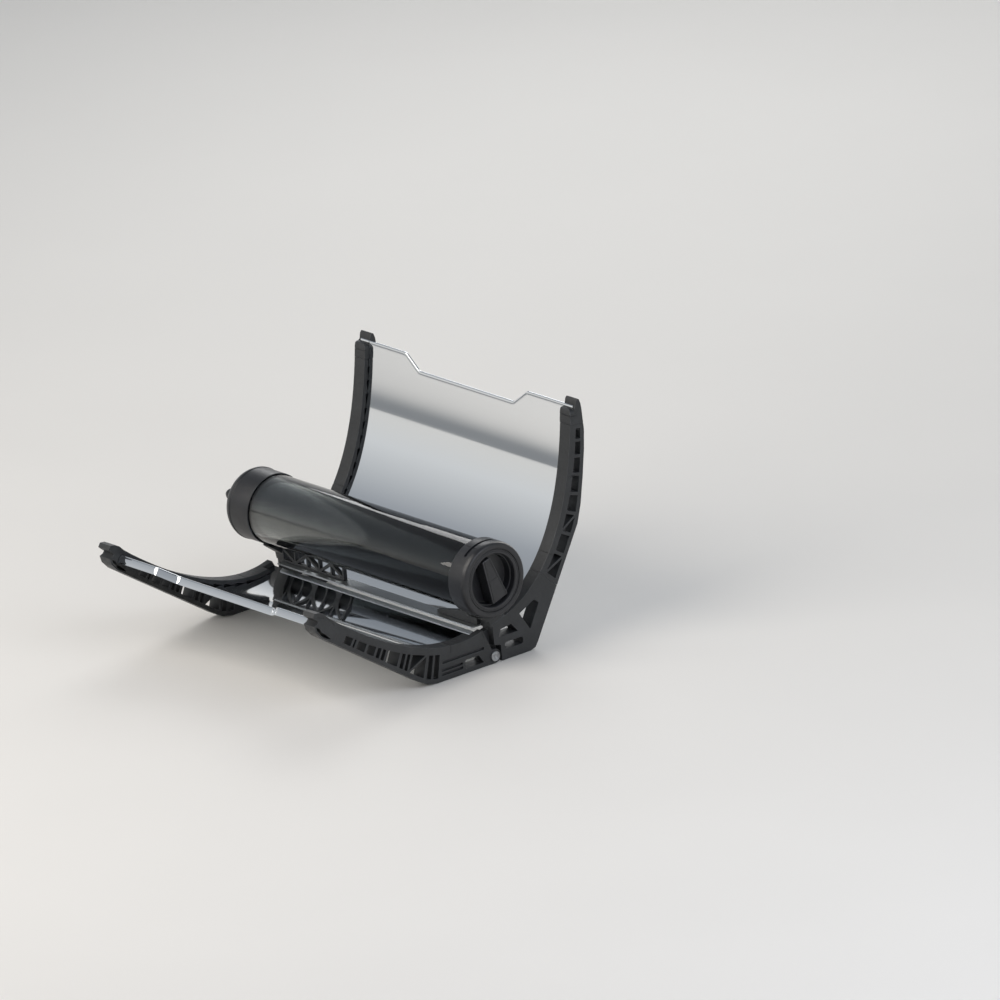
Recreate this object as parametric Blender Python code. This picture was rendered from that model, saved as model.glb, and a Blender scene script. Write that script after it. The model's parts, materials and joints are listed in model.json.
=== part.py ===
"""Folding parabolic-trough solar oven with an evacuated cooking tube.

The tube lies along X, with its capped mouth at +X. The back reflector stands at +Y on a
bracket at each end, and the front reflector lies at -Y and folds up about a pin near the
ground. The tube rests in two saddles and lifts out. The cap, plug and tray slide out of it.
Shapes are drawn from the fold axis and the middle of the trough. Each finished piece is then
moved so that the origin lies on the ground, in the middle of the object's footprint.
"""
from math import atan2, cos, hypot, pi, radians, sin, sqrt

import bmesh
import bpy
from mathutils import Vector
from mathutils.geometry import tessellate_polygon

# Clearances, in metres like every size below
SEAT_GAP = 0.0003
RUN_GAP = 0.0006
PIN_GAP = 0.00015

# Trough
TROUGH_LENGTH = 0.436
RIB_WIDTH = 0.0208
FLANGE_HEIGHT = 0.0096
CHORD_HEIGHT = 0.0060
POST_WIDTH = 0.0030
LIP_HEIGHT = 0.0066
TOOTH_PITCH = 0.0175
TOOTH_HEIGHT = 0.0026
TOOTH_LAND = 0.0012
TOOTH_WIDTH = 0.0040
FRONT_FOCAL_LENGTH = 0.0559
BACK_FOCAL_LENGTH = 0.0742

# Reflector sheets
SHEET_THICKNESS = 0.0010
SHEET_END_INSET = 0.0040
HEM_HEIGHT = 0.0085
HEM_BEND = 0.0012
FRONT_HEM_ANGLE = radians(100)
BACK_HEM_ANGLE = radians(150)
NOTCH_DEPTH = 0.0190
NOTCH_FLOOR = 0.1910
NOTCH_SLOPE = 0.0270

# Feet and fold axis
HINGE_Z = 0.0095
LUG_RADIUS = 0.0095
LUG_LENGTH = 0.0160
PIN_RADIUS = 0.0040
PIN_HEAD_RADIUS = 0.0064
PIN_HEAD_HEIGHT = 0.0018
FRONT_FOOT_LENGTH = 0.0950
FRONT_KNEE_RUN = 0.0240
BACK_FOOT_LENGTH = 0.0580
FOOT_GROOVE_DEPTH = 0.0035
FOOT_GROOVE_HEIGHT = 0.0034

# Cooking tube
TUBE_AXIS_Y = -0.005
TUBE_AXIS_Z = 0.1165
TUBE_RADIUS = 0.0450
TUBE_WALL = 0.0024
VACUUM_GAP = 0.0038
ABSORBER_WALL = 0.0020
DOME_DEPTH = 0.0220
DOME_PROUD = 0.0250
MOUTH_PROUD = 0.0126
MOUTH_SEAL_WIDTH = 0.0040
VACUUM_END_GAP = 0.0120
TIP_RADIUS = 0.0050

# Fittings of the tube
COLLAR_WALL = 0.0050
COLLAR_BEHIND = 0.0144
COLLAR_PROUD = 0.0196
COLLAR_EDGE = 0.0085
COLLAR_EDGE_DROP = 0.0040
VENT_WIDTH = 0.0046
VENT_DEPTH = 0.0022
CUP_WALL = 0.0013
CUP_BEHIND = 0.0127
CUP_BEAD = 0.0008
CUP_TIP_WALL = 0.0018
CUP_NOSE = 0.0390
PAD_THICKNESS = 0.0020
PAD_LENGTH = 0.0115
SADDLE_END_INSET = 0.0005

# Cap, plug and tray
CAP_FLANGE_INSET = 0.0045
CAP_FLANGE_THICKNESS = 0.0048
GASKET_THICKNESS = 0.0010
CAP_RECESS_DEPTH = 0.0200
CAP_STEP_DEPTH = 0.0090
CAP_STEP_WIDTH = 0.0016
CAP_WALL = 0.0018
HANDLE_TOP_WIDTH = 0.0130
HANDLE_FOOT_WIDTH = 0.0260
HANDLE_TILT = radians(17)
HANDLE_EDGE = 0.0014
PLUG_LENGTH = 0.0280
PLUG_CLEARANCE = 0.0012
TRAY_CLEARANCE = 0.0043
TRAY_END_GAP = 0.0473
TRAY_WALL = 0.0008
ROD_RADIUS = 0.0015

# Spine
STRIP_WIDTH = 0.0200
STRIP_THICKNESS = 0.0020
STRIP_CLEARANCE = 0.0014
ARM_WIDTH = 0.0060
ARM_BAR = 0.0025
ARM_TUBE_GAP = 0.0030
FAR_ARM_LENGTH = 0.1250
NEAR_ARM_LENGTH = 0.0800

HALF_LENGTH = TROUGH_LENGTH / 2
RIB_INNER_X = HALF_LENGTH - RIB_WIDTH
SHEET_HALF = HALF_LENGTH - SHEET_END_INSET
LUG_SPLIT_X = HALF_LENGTH - RIB_WIDTH / 2
SHEET_OFFSET = -(LIP_HEIGHT + SEAT_GAP + SHEET_THICKNESS / 2)
FOLD_AXIS = (0.0, HINGE_Z)
TUBE_AXIS = (TUBE_AXIS_Y, TUBE_AXIS_Z)

ABSORBER_RADIUS = TUBE_RADIUS - TUBE_WALL - VACUUM_GAP
ABSORBER_BORE = ABSORBER_RADIUS - ABSORBER_WALL
MOUTH_X = HALF_LENGTH + MOUTH_PROUD
DOME_X = -(HALF_LENGTH + DOME_PROUD)
ABSORBER_END_X = DOME_X + VACUUM_END_GAP
CUP_END_X = DOME_X - DOME_DEPTH - CUP_NOSE
COLLAR_FRONT_X = HALF_LENGTH + COLLAR_PROUD
COLLAR_RADIUS = TUBE_RADIUS + COLLAR_WALL
CAP_FLANGE_RADIUS = TUBE_RADIUS - CAP_FLANGE_INSET


def mm(*points):
    """Points given in millimetres from the fold axis, as metres above the ground."""
    return [(y / 1000, z / 1000 + HINGE_Z) for y, z in points]


def polar(centre, radius, angle):
    return (centre[0] + radius * cos(angle), centre[1] + radius * sin(angle))


def arc(centre, radius, start, end, steps):
    """Points round an arc, angles in degrees."""
    spread = [radians(start + (end - start) * i / steps) for i in range(steps + 1)]
    return [polar(centre, radius, angle) for angle in spread]


class Path:
    """A line in the end plane that can be walked by its length."""

    def __init__(self, points, side=1):
        self.points = points
        self.side = side
        self.lengths = [0.0]
        for a, b in zip(points, points[1:]):
            self.lengths.append(self.lengths[-1] + hypot(b[0] - a[0], b[1] - a[1]))
        self.length = self.lengths[-1]

    def leg(self, s):
        for i in range(len(self.points) - 2):
            if s <= self.lengths[i + 1]:
                return i
        return len(self.points) - 2

    def at(self, s, offset=0.0):
        """The point a length s along, moved by offset towards the tube."""
        i = self.leg(s)
        a, b = self.points[i], self.points[i + 1]
        run = self.lengths[i + 1] - self.lengths[i]
        t = (s - self.lengths[i]) / run
        n = self.normal(s)
        return (a[0] + (b[0] - a[0]) * t + n[0] * offset, a[1] + (b[1] - a[1]) * t + n[1] * offset)

    def tangent(self, s):
        i = self.leg(s)
        a, b = self.points[i], self.points[i + 1]
        run = self.lengths[i + 1] - self.lengths[i]
        return ((b[0] - a[0]) / run, (b[1] - a[1]) / run)

    def normal(self, s):
        t = self.tangent(s)
        return (-t[1] * self.side, t[0] * self.side)

    def outward(self, s):
        n = self.normal(s)
        return (-n[0], -n[1])

    def part(self, start, end, steps, offset=0.0):
        return [self.at(start + (end - start) * i / steps, offset) for i in range(steps + 1)]

    def hit(self, origin, direction):
        """Where a ray from origin first meets this path."""
        best = None
        for a, b in zip(self.points, self.points[1:]):
            ex, ez = b[0] - a[0], b[1] - a[1]
            det = direction[0] * -ez + direction[1] * ex
            if abs(det) < 1e-12:
                continue
            dx, dz = a[0] - origin[0], a[1] - origin[1]
            t = (dx * -ez + dz * ex) / det
            u = (direction[0] * dz - direction[1] * dx) / det
            if -1e-6 <= u <= 1 + 1e-6 and t > 0 and (best is None or t < best):
                best = t
        return (origin[0] + direction[0] * best, origin[1] + direction[1] * best)


def parabola(focus, vertex_angle, focal_length, start, end, side):
    """A stretch of parabola between two directions seen from its focus, in degrees."""
    steps = 160
    points = []
    for i in range(steps + 1):
        angle = radians(start + (end - start) * i / steps)
        radius = 2 * focal_length / (1 + cos(angle - radians(vertex_angle)))
        points.append(polar(focus, radius, angle))
    return Path(points, side)


# The two reflector curves, as the top line of the ribs' flanges, and the outer line of each rib's
# truss, from the foot to the tip. The upper points of a truss line are (length along, depth) pairs
FRONT_FOCUS = (TUBE_AXIS_Y - 0.0237, TUBE_AXIS_Z - 0.0129)
BACK_FOCUS = (TUBE_AXIS_Y + 0.0151, TUBE_AXIS_Z + 0.0175)
FRONT_CURVE = parabola(FRONT_FOCUS, -66.7, FRONT_FOCAL_LENGTH, -77.5, -187.8, -1)
BACK_CURVE = parabola(BACK_FOCUS, -60.1, BACK_FOCAL_LENGTH, -97.0, 48.6, 1)
FRONT_CHORD = Path([(-0.011, 0.0), (-FRONT_FOOT_LENGTH, 0.0),
                    (-FRONT_FOOT_LENGTH - FRONT_KNEE_RUN * 0.62, 0.003),
                    (-FRONT_FOOT_LENGTH - FRONT_KNEE_RUN, 0.0075),
                    FRONT_CURVE.at(FRONT_CURVE.length - 0.0051, -0.0269)], -1)
BACK_CHORD = Path([(BACK_FOOT_LENGTH, 0.0), (BACK_FOOT_LENGTH + 0.008, 0.0025),
                   (BACK_FOOT_LENGTH + 0.013, 0.0095)]
                  + [BACK_CURVE.at(s, -depth) for s, depth in
                     ((0.1672, 0.0317), (0.1909, 0.0298), (0.2240, 0.0263), (0.2576, 0.0245),
                      (0.2818, 0.0229), (0.2981, 0.0201), (0.3066, 0.0181))], 1)

FRONT_TIP_S = FRONT_CURVE.length - 0.0135
BACK_SPLICE_S = 0.0960
BACK_TIP_S = BACK_CURVE.length - 0.0225
FRONT_TIP_CUT = (0.0, -1.0)

# Truss bays: start and end along the flange in metres, and whether a diagonal crosses them
FRONT_BAYS = (
    (0.0697, 0.0765, False), (0.0796, 0.0858, False), (0.0901, 0.1126, True),
    (0.1159, 0.1202, False), (0.1233, 0.1286, False), (0.1330, 0.1517, False),
    (0.1560, 0.1610, False), (0.1641, 0.1692, False), (0.1732, 0.1858, False),
    (0.1893, 0.2034, False), (0.2075, 0.2100, False), (0.2136, 0.2260, False),
)
BACK_BAYS = (
    (0.101, 0.126, True), (0.130, 0.151, False), (0.155, 0.176, True),
    (0.180, 0.200, False), (0.204, 0.224, False), (0.228, 0.247, False),
    (0.251, 0.267, False), (0.271, 0.284, False),
)


def srgb(code):
    values = [int(code[i:i + 2], 16) / 255 for i in (1, 3, 5)]
    return [v / 12.92 if v <= 0.04045 else ((v + 0.055) / 1.055) ** 2.4 for v in values]


def make_material(name, code, roughness, metallic=0.0, transmission=0.0):
    material = bpy.data.materials.new(name)
    material.use_nodes = True
    shader = material.node_tree.nodes["Principled BSDF"]
    shader.inputs["Base Color"].default_value = (*srgb(code), 1.0)
    shader.inputs["Roughness"].default_value = roughness
    shader.inputs["Metallic"].default_value = metallic
    shader.inputs["Transmission Weight"].default_value = transmission
    return material


def add_object(name, bm, material, parent=None, smooth=False):
    """Turn a bmesh in world coordinates into a named object under its joint's empty."""
    bmesh.ops.recalc_face_normals(bm, faces=bm.faces)
    mesh = bpy.data.meshes.new(name)
    shift = -middle_of_footprint()
    if parent:
        shift -= parent.location
    bmesh.ops.translate(bm, verts=bm.verts, vec=shift)
    bm.to_mesh(mesh)
    bm.free()
    if smooth:
        mesh.shade_smooth()
        mesh.set_sharp_from_angle(angle=radians(35))
    obj = bpy.data.objects.new(name, mesh)
    bpy.context.collection.objects.link(obj)
    obj.parent = parent
    if material:
        mesh.materials.append(material)
    return obj


def add_tool(name, bm, parent=None):
    """A cutter or an adder for a Boolean, which is not a piece itself."""
    tool = add_object(name, bm, None, parent)
    tool.hide_render = True
    tool.display_type = 'WIRE'
    return tool


def boolean(target, tool, operation):
    modifier = target.modifiers.new(operation.title(), 'BOOLEAN')
    modifier.operation = operation
    modifier.object = tool
    modifier.solver = 'EXACT'


def prism(loops, start, end, axis='X', bm=None):
    """Extrude an outline with holes along an axis. Points are (y, z), or (x, z) along Y."""
    bm = bm or bmesh.new()
    flat = [point for loop in loops for point in loop]

    def corner(point, depth):
        return (depth, point[0], point[1]) if axis == 'X' else (point[0], depth, point[1])

    low = [bm.verts.new(corner(point, start)) for point in flat]
    high = [bm.verts.new(corner(point, end)) for point in flat]
    outline = [[Vector((point[0], point[1], 0)) for point in loop] for loop in loops]
    for triangle in tessellate_polygon(outline):
        bm.faces.new([low[i] for i in triangle])
        bm.faces.new([high[i] for i in reversed(triangle)])
    first = 0
    for loop in loops:
        count = len(loop)
        for i in range(count):
            a, b = first + i, first + (i + 1) % count
            bm.faces.new((low[a], low[b], high[b], high[a]))
        first += count
    return bm


def revolve(profile, closed=False, segments=36, centre=TUBE_AXIS, bm=None):
    """Turn a profile of (x, radius) points round an axis that runs along X."""
    bm = bm or bmesh.new()
    rings = []
    for x, radius in profile:
        if radius < 1e-7:
            rings.append([bm.verts.new((x, centre[0], centre[1]))])
            continue
        ring = []
        for i in range(segments):
            y, z = polar(centre, radius, 2 * pi * i / segments)
            ring.append(bm.verts.new((x, y, z)))
        rings.append(ring)
    pairs = list(zip(rings, rings[1:]))
    if closed:
        pairs.append((rings[-1], rings[0]))
    for a, b in pairs:
        for i in range(segments):
            j = (i + 1) % segments
            corners = [a[i % len(a)], a[j % len(a)], b[j % len(b)], b[i % len(b)]]
            bm.faces.new(list(dict.fromkeys(corners)))
    return bm


def box(x, y, z, bm=None):
    """A box between two values on each axis."""
    return prism([[(y[0], z[0]), (y[1], z[0]), (y[1], z[1]), (y[0], z[1])]], x[0], x[1], bm=bm)


def spread(end, inner, outer):
    """The X range of a piece at the near (1) or far (-1) end."""
    return (inner, outer) if end > 0 else (-inner, -outer)


def place_of(end):
    return "near" if end > 0 else "far"


def unit(a, b, sign=1):
    """The direction from a to b, or back again with sign -1."""
    run = hypot(b[0] - a[0], b[1] - a[1])
    return (sign * (b[0] - a[0]) / run, sign * (b[1] - a[1]) / run)


def offset_line(points, offset, side):
    """A line beside an open line, with mitred corners."""
    moved = []
    for i, point in enumerate(points):
        before = points[max(i - 1, 0)]
        after = points[min(i + 1, len(points) - 1)]
        d1 = unit(before, point) if i > 0 else unit(point, after)
        d2 = unit(point, after) if i < len(points) - 1 else d1
        mid = (d1[0] + d2[0], d1[1] + d2[1])
        size = hypot(*mid)
        stretch = offset / (size / 2) * side / size
        moved.append((point[0] - mid[1] * stretch, point[1] + mid[0] * stretch))
    return moved


def rounded(corners, radius, steps=3):
    """A rectangle with round corners, between two opposite corner points."""
    (left, low), (right, high) = corners
    points = []
    for centre, start in (((right - radius, high - radius), 0), ((left + radius, high - radius), 90),
                          ((left + radius, low + radius), 180), ((right - radius, low + radius), 270)):
        points += arc(centre, radius, start, start + 90, steps)
    return points


def notch(x):
    """How far the reflector's outer edge is cut back at x."""
    over = abs(x) - NOTCH_FLOOR / 2
    return NOTCH_DEPTH * min(1.0, max(0.0, 1 - over / NOTCH_SLOPE))


def hem_line(curve, stop, hem_angle, steps=3):
    """The folded hem past the end of a curve: a tight bend, then a straight leg."""
    point = curve.at(stop, SHEET_OFFSET)
    along = curve.tangent(stop)
    heading = atan2(along[1], along[0])
    line = []
    for i in range(steps):
        heading -= hem_angle / steps * curve.side
        step = HEM_BEND if i < steps - 1 else HEM_HEIGHT
        point = polar(point, step, heading)
        line.append(point)
    return line


def lengthened(line, gap):
    """A line with both its ends moved out by a gap."""
    first, last = unit(line[1], line[0]), unit(line[-2], line[-1])
    start = (line[0][0] + first[0] * gap, line[0][1] + first[1] * gap)
    end = (line[-1][0] + last[0] * gap, line[-1][1] + last[1] * gap)
    return [start] + line[1:-1] + [end]


def sheet(curve, hem_angle, gap=0.0, rows=30):
    """A reflector sheet on its curve, with the notch in its outer edge and a folded hem.

    With a gap it is that much larger all round, which makes it the cutter of its own slot.
    """
    shoulder = NOTCH_FLOOR / 2 + NOTCH_SLOPE
    half = SHEET_HALF + gap
    thickness = SHEET_THICKNESS + 2 * gap
    columns = (-half, -shoulder, -NOTCH_FLOOR / 2, NOTCH_FLOOR / 2, shoulder, half)
    bm = bmesh.new()
    top, bottom = [], []
    for x in columns:
        stop = curve.length - notch(x)
        line = curve.part(0.0, stop, rows, SHEET_OFFSET) + hem_line(curve, stop, hem_angle)
        line = lengthened(line, gap)
        for row, offset in ((top, thickness / 2), (bottom, -thickness / 2)):
            row.append([bm.verts.new((x, *point)) for point in offset_line(line, offset, curve.side)])
    last = len(top[0]) - 1
    for i in range(len(columns) - 1):
        for j in range(last):
            bm.faces.new((top[i][j], top[i + 1][j], top[i + 1][j + 1], top[i][j + 1]))
            bm.faces.new((bottom[i][j], bottom[i][j + 1], bottom[i + 1][j + 1], bottom[i + 1][j]))
        for j in (0, last):
            bm.faces.new((top[i][j], top[i + 1][j], bottom[i + 1][j], bottom[i][j]))
    for i in (0, len(columns) - 1):
        for j in range(last):
            bm.faces.new((top[i][j], top[i][j + 1], bottom[i][j + 1], bottom[i][j]))
    return bm


def tooth_gaps(curve, start, end, side):
    """The cuts between the saw teeth of a flange's lip, whose tips hold the reflector sheet."""
    bm = bmesh.new()
    low = -LIP_HEIGHT - 2 * SEAT_GAP
    x = spread(side, RIB_INNER_X - RUN_GAP, RIB_INNER_X + TOOTH_WIDTH)
    for i in range(int((end - start) / TOOTH_PITCH)):
        tip = start + i * TOOTH_PITCH
        root = tip + TOOTH_PITCH - TOOTH_LAND
        corners = [curve.at(tip + TOOTH_LAND, low), curve.at(root, low), curve.at(root, low + TOOTH_HEIGHT)]
        prism([corners], *x, bm=bm)
    return bm


def bay_holes(curve, chord, bays):
    """Openings of a truss between a flange and its chord, with posts left between them."""
    inner = Path([chord.at(s, CHORD_HEIGHT) for s in chord.lengths], chord.side)
    holes = []
    for start, end, diagonal in bays:
        corners = []
        for s in (start, end):
            top = curve.at(s, -FLANGE_HEIGHT)
            corners.append((top, inner.hit(top, curve.outward(s))))
        (a, d), (b, c) = corners
        if not diagonal:
            holes.append([a, b, c, d])
            continue
        along = unit(a, c)
        half = POST_WIDTH / 2
        for far in (b, d):
            side = 1 if (far[0] - a[0]) * -along[1] + (far[1] - a[1]) * along[0] > 0 else -1
            shift = (-along[1] * half * side, along[0] * half * side)
            post = Path([(a[0] + shift[0], a[1] + shift[1]), (c[0] + shift[0], c[1] + shift[1])])
            holes.append([post.hit(far, unit(a, far, -1)), far, post.hit(far, unit(c, far, -1))])
    return holes


def pin_bore(x):
    radius = PIN_RADIUS + PIN_GAP
    return revolve([(x[0], 0), (x[0], radius), (x[1], radius), (x[1], 0)], segments=20, centre=FOLD_AXIS)


def cut_pin_bore(target, end, parent=None):
    reach = spread(end, RIB_INNER_X - RUN_GAP, HALF_LENGTH + RUN_GAP)
    boolean(target, add_tool(target.name + "_bore", pin_bore(reach), parent), 'DIFFERENCE')


def front_lug_outline():
    """The lug of the front rib, round the pin and up to the start of the flange."""
    top = FRONT_CURVE.part(0.0, LUG_LENGTH + 0.004, 3)
    under = FRONT_CURVE.at(LUG_LENGTH + 0.0039, -FLANGE_HEIGHT)
    foot = (-0.014, 0.0)
    return top + [under] + mm((-26, 21), (-26, 9)) + [foot] + arc(FOLD_AXIS, LUG_RADIUS, -90, 112, 12)


def foot_grooves(face):
    """The long grooves along the foot bar's outer face."""
    bm = bmesh.new()
    for z, y0, y1 in ((13.5, -84, -16), (3.5, -86, -52), (-2.0, -86, -52)):
        (a, low), (b, high) = mm((y0, z), (y1, z))
        box(face, (a, b), (low, high + FOOT_GROOVE_HEIGHT), bm)
    return bm


def front_rib(end, slot, material, parent):
    """One rib of the front half: hinge lug, foot bar, truss and flange."""
    name = "front_rib_" + place_of(end)
    x = spread(end, RIB_INNER_X, HALF_LENGTH)
    flange = FRONT_CURVE.part(LUG_LENGTH, FRONT_TIP_S, 32)
    tip = FRONT_CHORD.hit(flange[-1], FRONT_TIP_CUT)
    chord = list(reversed(FRONT_CHORD.points[1:-1]))
    foot = FRONT_CHORD.points[0]
    neck = [foot, (foot[0], HINGE_Z)] + mm((-14, 17), (-24, 22))
    foot_hole = rounded(mm((-48, -3.5), (-16, 8)), 0.003)
    truss = bay_holes(FRONT_CURVE, FRONT_CHORD, FRONT_BAYS)
    rib = add_object(name, prism([flange + [tip] + chord + neck, foot_hole] + truss, *x), material, parent)
    lug_x = spread(end, LUG_SPLIT_X + RUN_GAP / 2, HALF_LENGTH)
    boolean(rib, add_tool(name + "_lug", prism([front_lug_outline()], *lug_x), parent), 'UNION')
    boolean(rib, slot, 'DIFFERENCE')
    gaps = tooth_gaps(FRONT_CURVE, 2 * TOOTH_PITCH, FRONT_TIP_S, end)
    boolean(rib, add_tool(name + "_teeth", gaps, parent), 'DIFFERENCE')
    cut_pin_bore(rib, end, parent)
    face = spread(end, HALF_LENGTH - FOOT_GROOVE_DEPTH, HALF_LENGTH + RUN_GAP)
    boolean(rib, add_tool(name + "_grooves", foot_grooves(face), parent), 'DIFFERENCE')
    return rib


def saddle_radius(end):
    """Radius of the saddle's seat, under its rubber pad."""
    fitting = COLLAR_RADIUS if end > 0 else TUBE_RADIUS + SEAT_GAP + CUP_WALL
    return fitting + PAD_THICKNESS + 2 * SEAT_GAP


def back_bracket(end, slot, material):
    """The standing bracket of one end: base, hinge lug, saddle and the foot of the back rib."""
    name = "bracket_" + place_of(end)
    x = spread(end, RIB_INNER_X, HALF_LENGTH)
    flange = BACK_CURVE.part(0.0, BACK_SPLICE_S, 12)
    cut = BACK_CHORD.hit(flange[-1], BACK_CURVE.outward(BACK_SPLICE_S))
    chord = [p for p in BACK_CHORD.points if p[1] < cut[1]]
    outline = [(0.011, 0.0)] + chord + [cut] + list(reversed(flange)) + mm((1, 14), (11, 12))
    holes = [mm((9, 22.5), (40, 22.5), (30, 34.5), (13, 32)), mm((45, 44), (60, 19), (77, 50), (70, 56))]
    base_slot = rounded(mm((18, 4), (47, 13)), 0.003)
    bracket = add_object(name, prism([outline, base_slot] + holes, *x), material)
    inner_half = spread(end, RIB_INNER_X, LUG_SPLIT_X - RUN_GAP / 2)
    lug = arc(FOLD_AXIS, LUG_RADIUS, 150, 270, 8)
    lug += [(0.014, 0.0)] + mm((14, 13), (2, 34), (-7.5, 32), (-6, 14))
    boolean(bracket, add_tool(name + "_lug", prism([lug], *inner_half)), 'UNION')
    boolean(bracket, slot, 'DIFFERENCE')
    saddle = arc(TUBE_AXIS, saddle_radius(end), -112, -62, 8)
    saddle += mm((22, 47), (14, 44), (3, 41), (-2, 37), (-3.5, 46))
    saddle_x = spread(end, RIB_INNER_X, HALF_LENGTH - SADDLE_END_INSET)
    boolean(bracket, add_tool(name + "_saddle", prism([saddle], *saddle_x)), 'UNION')
    cut_pin_bore(bracket, end)
    return bracket


def saddle_pad(end, material):
    radius = saddle_radius(end) - SEAT_GAP
    outline = arc(TUBE_AXIS, radius, -110, -64, 8) + arc(TUBE_AXIS, radius - PAD_THICKNESS, -64, -110, 8)
    outer = HALF_LENGTH - 3 * SADDLE_END_INSET
    return add_object("saddle_pad_" + place_of(end),
                      prism([outline], *spread(end, outer - PAD_LENGTH, outer)), material)


def back_rib(end, slot, material):
    """One rib of the back half, from the splice on the bracket to the tip."""
    name = "back_rib_" + place_of(end)
    x = spread(end, RIB_INNER_X, HALF_LENGTH)
    start = BACK_SPLICE_S + SEAT_GAP
    flange = BACK_CURVE.part(start, BACK_TIP_S, 28)
    foot = BACK_CHORD.hit(flange[0], BACK_CURVE.outward(start))
    top = BACK_CHORD.hit(flange[-1], BACK_CURVE.outward(BACK_TIP_S))
    chord = [p for p in BACK_CHORD.points if foot[1] < p[1] < top[1]]
    outline = flange + [top] + list(reversed(chord)) + [foot]
    truss = bay_holes(BACK_CURVE, BACK_CHORD, BACK_BAYS)
    rib = add_object(name, prism([outline] + truss, *x), material)
    boolean(rib, slot, 'DIFFERENCE')
    gaps = tooth_gaps(BACK_CURVE, start + TOOTH_PITCH / 2, BACK_TIP_S, end)
    boolean(rib, add_tool(name + "_teeth", gaps), 'DIFFERENCE')
    return rib


def rib_tip(name, end, outline, slot, material, parent=None):
    """The separate end piece that closes a rib and holds the sheet's corner."""
    x = spread(end, RIB_INNER_X - RUN_GAP, HALF_LENGTH)
    tip = add_object(name, prism(outline, *x), material, parent)
    boolean(tip, slot, 'DIFFERENCE')
    return tip


def front_tip_outline():
    """A hook over the sheet's corner, and under it a jaw with a long slit."""
    start = FRONT_CURVE.at(FRONT_TIP_S + SEAT_GAP)
    foot = FRONT_CHORD.hit(start, FRONT_TIP_CUT)
    hook = mm((-257.4, 125.6), (-263.8, 132.2), (-271.5, 136.4), (-278.5, 137.2), (-282, 132), (-277, 127.5))
    jaw = mm((-273.5, 124.5), (-276.5, 121.5), (-281, 120), (-279, 111.5), (-270.3, 101.5))
    slit = mm((-277.6, 118.5), (-272.3, 114.5), (-270.2, 109.8), (-262.5, 103.5), (-255.8, 96.2),
              (-262.5, 99.0), (-269.8, 104.2), (-276, 112.2))
    return [[start] + hook + jaw + [foot], slit]


def back_tip_outline():
    """A low lip in front of the sheet's corner, and a round lobe that rises behind it."""
    start = BACK_CURVE.at(BACK_TIP_S + SEAT_GAP)
    foot = BACK_CHORD.hit(start, BACK_CURVE.outward(BACK_TIP_S))
    lip = [BACK_CURVE.at(BACK_CURVE.length - 0.0083)] + mm((155, 284.6), (157.5, 285.6), (160.2, 285.8))
    lobe = mm((162.4, 287.6), (163.2, 291), (164, 295), (166.5, 297.6), (169.4, 296.4), (171.4, 291))
    return [[start] + lip + lobe + mm((172.5, 282)) + [foot]]


def lip_corner(end, radius=0.0080):
    """Cuts the lip of a back tip to a round corner, at the side that faces the tube's mouth."""
    edge = HALF_LENGTH if end > 0 else -RIB_INNER_X + RUN_GAP
    (front, high), (back, _) = mm((150, 285.8), (160.6, 285.8))
    centre = (edge - radius, high - radius)
    outline = arc(centre, radius, 0, 90, 6)
    outline += [(centre[0], high + RUN_GAP), (edge + RUN_GAP, high + RUN_GAP), (edge + RUN_GAP, centre[1])]
    return prism([outline], front, back, axis='Y')


def tube_shell(mouth_x, dome_x, radius, wall, depth, tip_end=None):
    """A glass tube with an open mouth and a domed end, as a profile turned round the axis."""
    steps = 6
    angles = [pi / 2 * i / steps for i in range(steps + 1)]
    outer = [(dome_x - depth * sin(a), radius * cos(a)) for a in angles]
    inner = [(dome_x - (depth - wall) * sin(a), (radius - wall) * cos(a)) for a in reversed(angles)]
    outer[-1] = (outer[-1][0], 0.0)
    inner[0] = (inner[0][0], 0.0)
    if tip_end is not None:
        root = dome_x - depth * 0.985
        outer[-1:] = [(root, TIP_RADIUS), (tip_end + 0.004, TIP_RADIUS * 0.8), (tip_end, 0.0)]
    profile = inner + [(mouth_x, radius - wall), (mouth_x, radius)] + outer
    return revolve(profile)


def make_glass(parent, looks):
    """The evacuated tube: two glass tubes fused at the mouth, and the clip at the closed end."""
    outer_bore = TUBE_RADIUS - TUBE_WALL - SEAT_GAP
    glass = tube_shell(MOUTH_X, DOME_X, TUBE_RADIUS, TUBE_WALL, DOME_DEPTH, CUP_END_X + 0.0045)
    add_object("outer_glass_tube", glass, looks["glass"], parent, smooth=True)
    absorber = tube_shell(MOUTH_X - SEAT_GAP, ABSORBER_END_X, ABSORBER_RADIUS, ABSORBER_WALL,
                          DOME_DEPTH - ABSORBER_WALL)
    add_object("absorber_tube", absorber, looks["absorber"], parent, smooth=True)
    back = MOUTH_X - MOUTH_SEAL_WIDTH
    inside = ABSORBER_RADIUS + SEAT_GAP
    fused = [(back, inside), (MOUTH_X, inside), (MOUTH_X, outer_bore), (back, outer_bore)]
    add_object("mouth_seal_ring", revolve(fused, closed=True), looks["glass"], parent, smooth=True)
    band = ABSORBER_RADIUS + 2 * SEAT_GAP
    metal = 2 * SEAT_GAP
    x = ABSORBER_END_X - 0.002
    spring = [(x, band), (x + 0.012, band), (x + 0.012, band + metal), (x + 0.002, band + metal),
              (x - 0.004, outer_bore), (x - 0.005, outer_bore - metal)]
    add_object("getter_spring", revolve(spring, closed=True), looks["steel"], parent, smooth=True)


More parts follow.
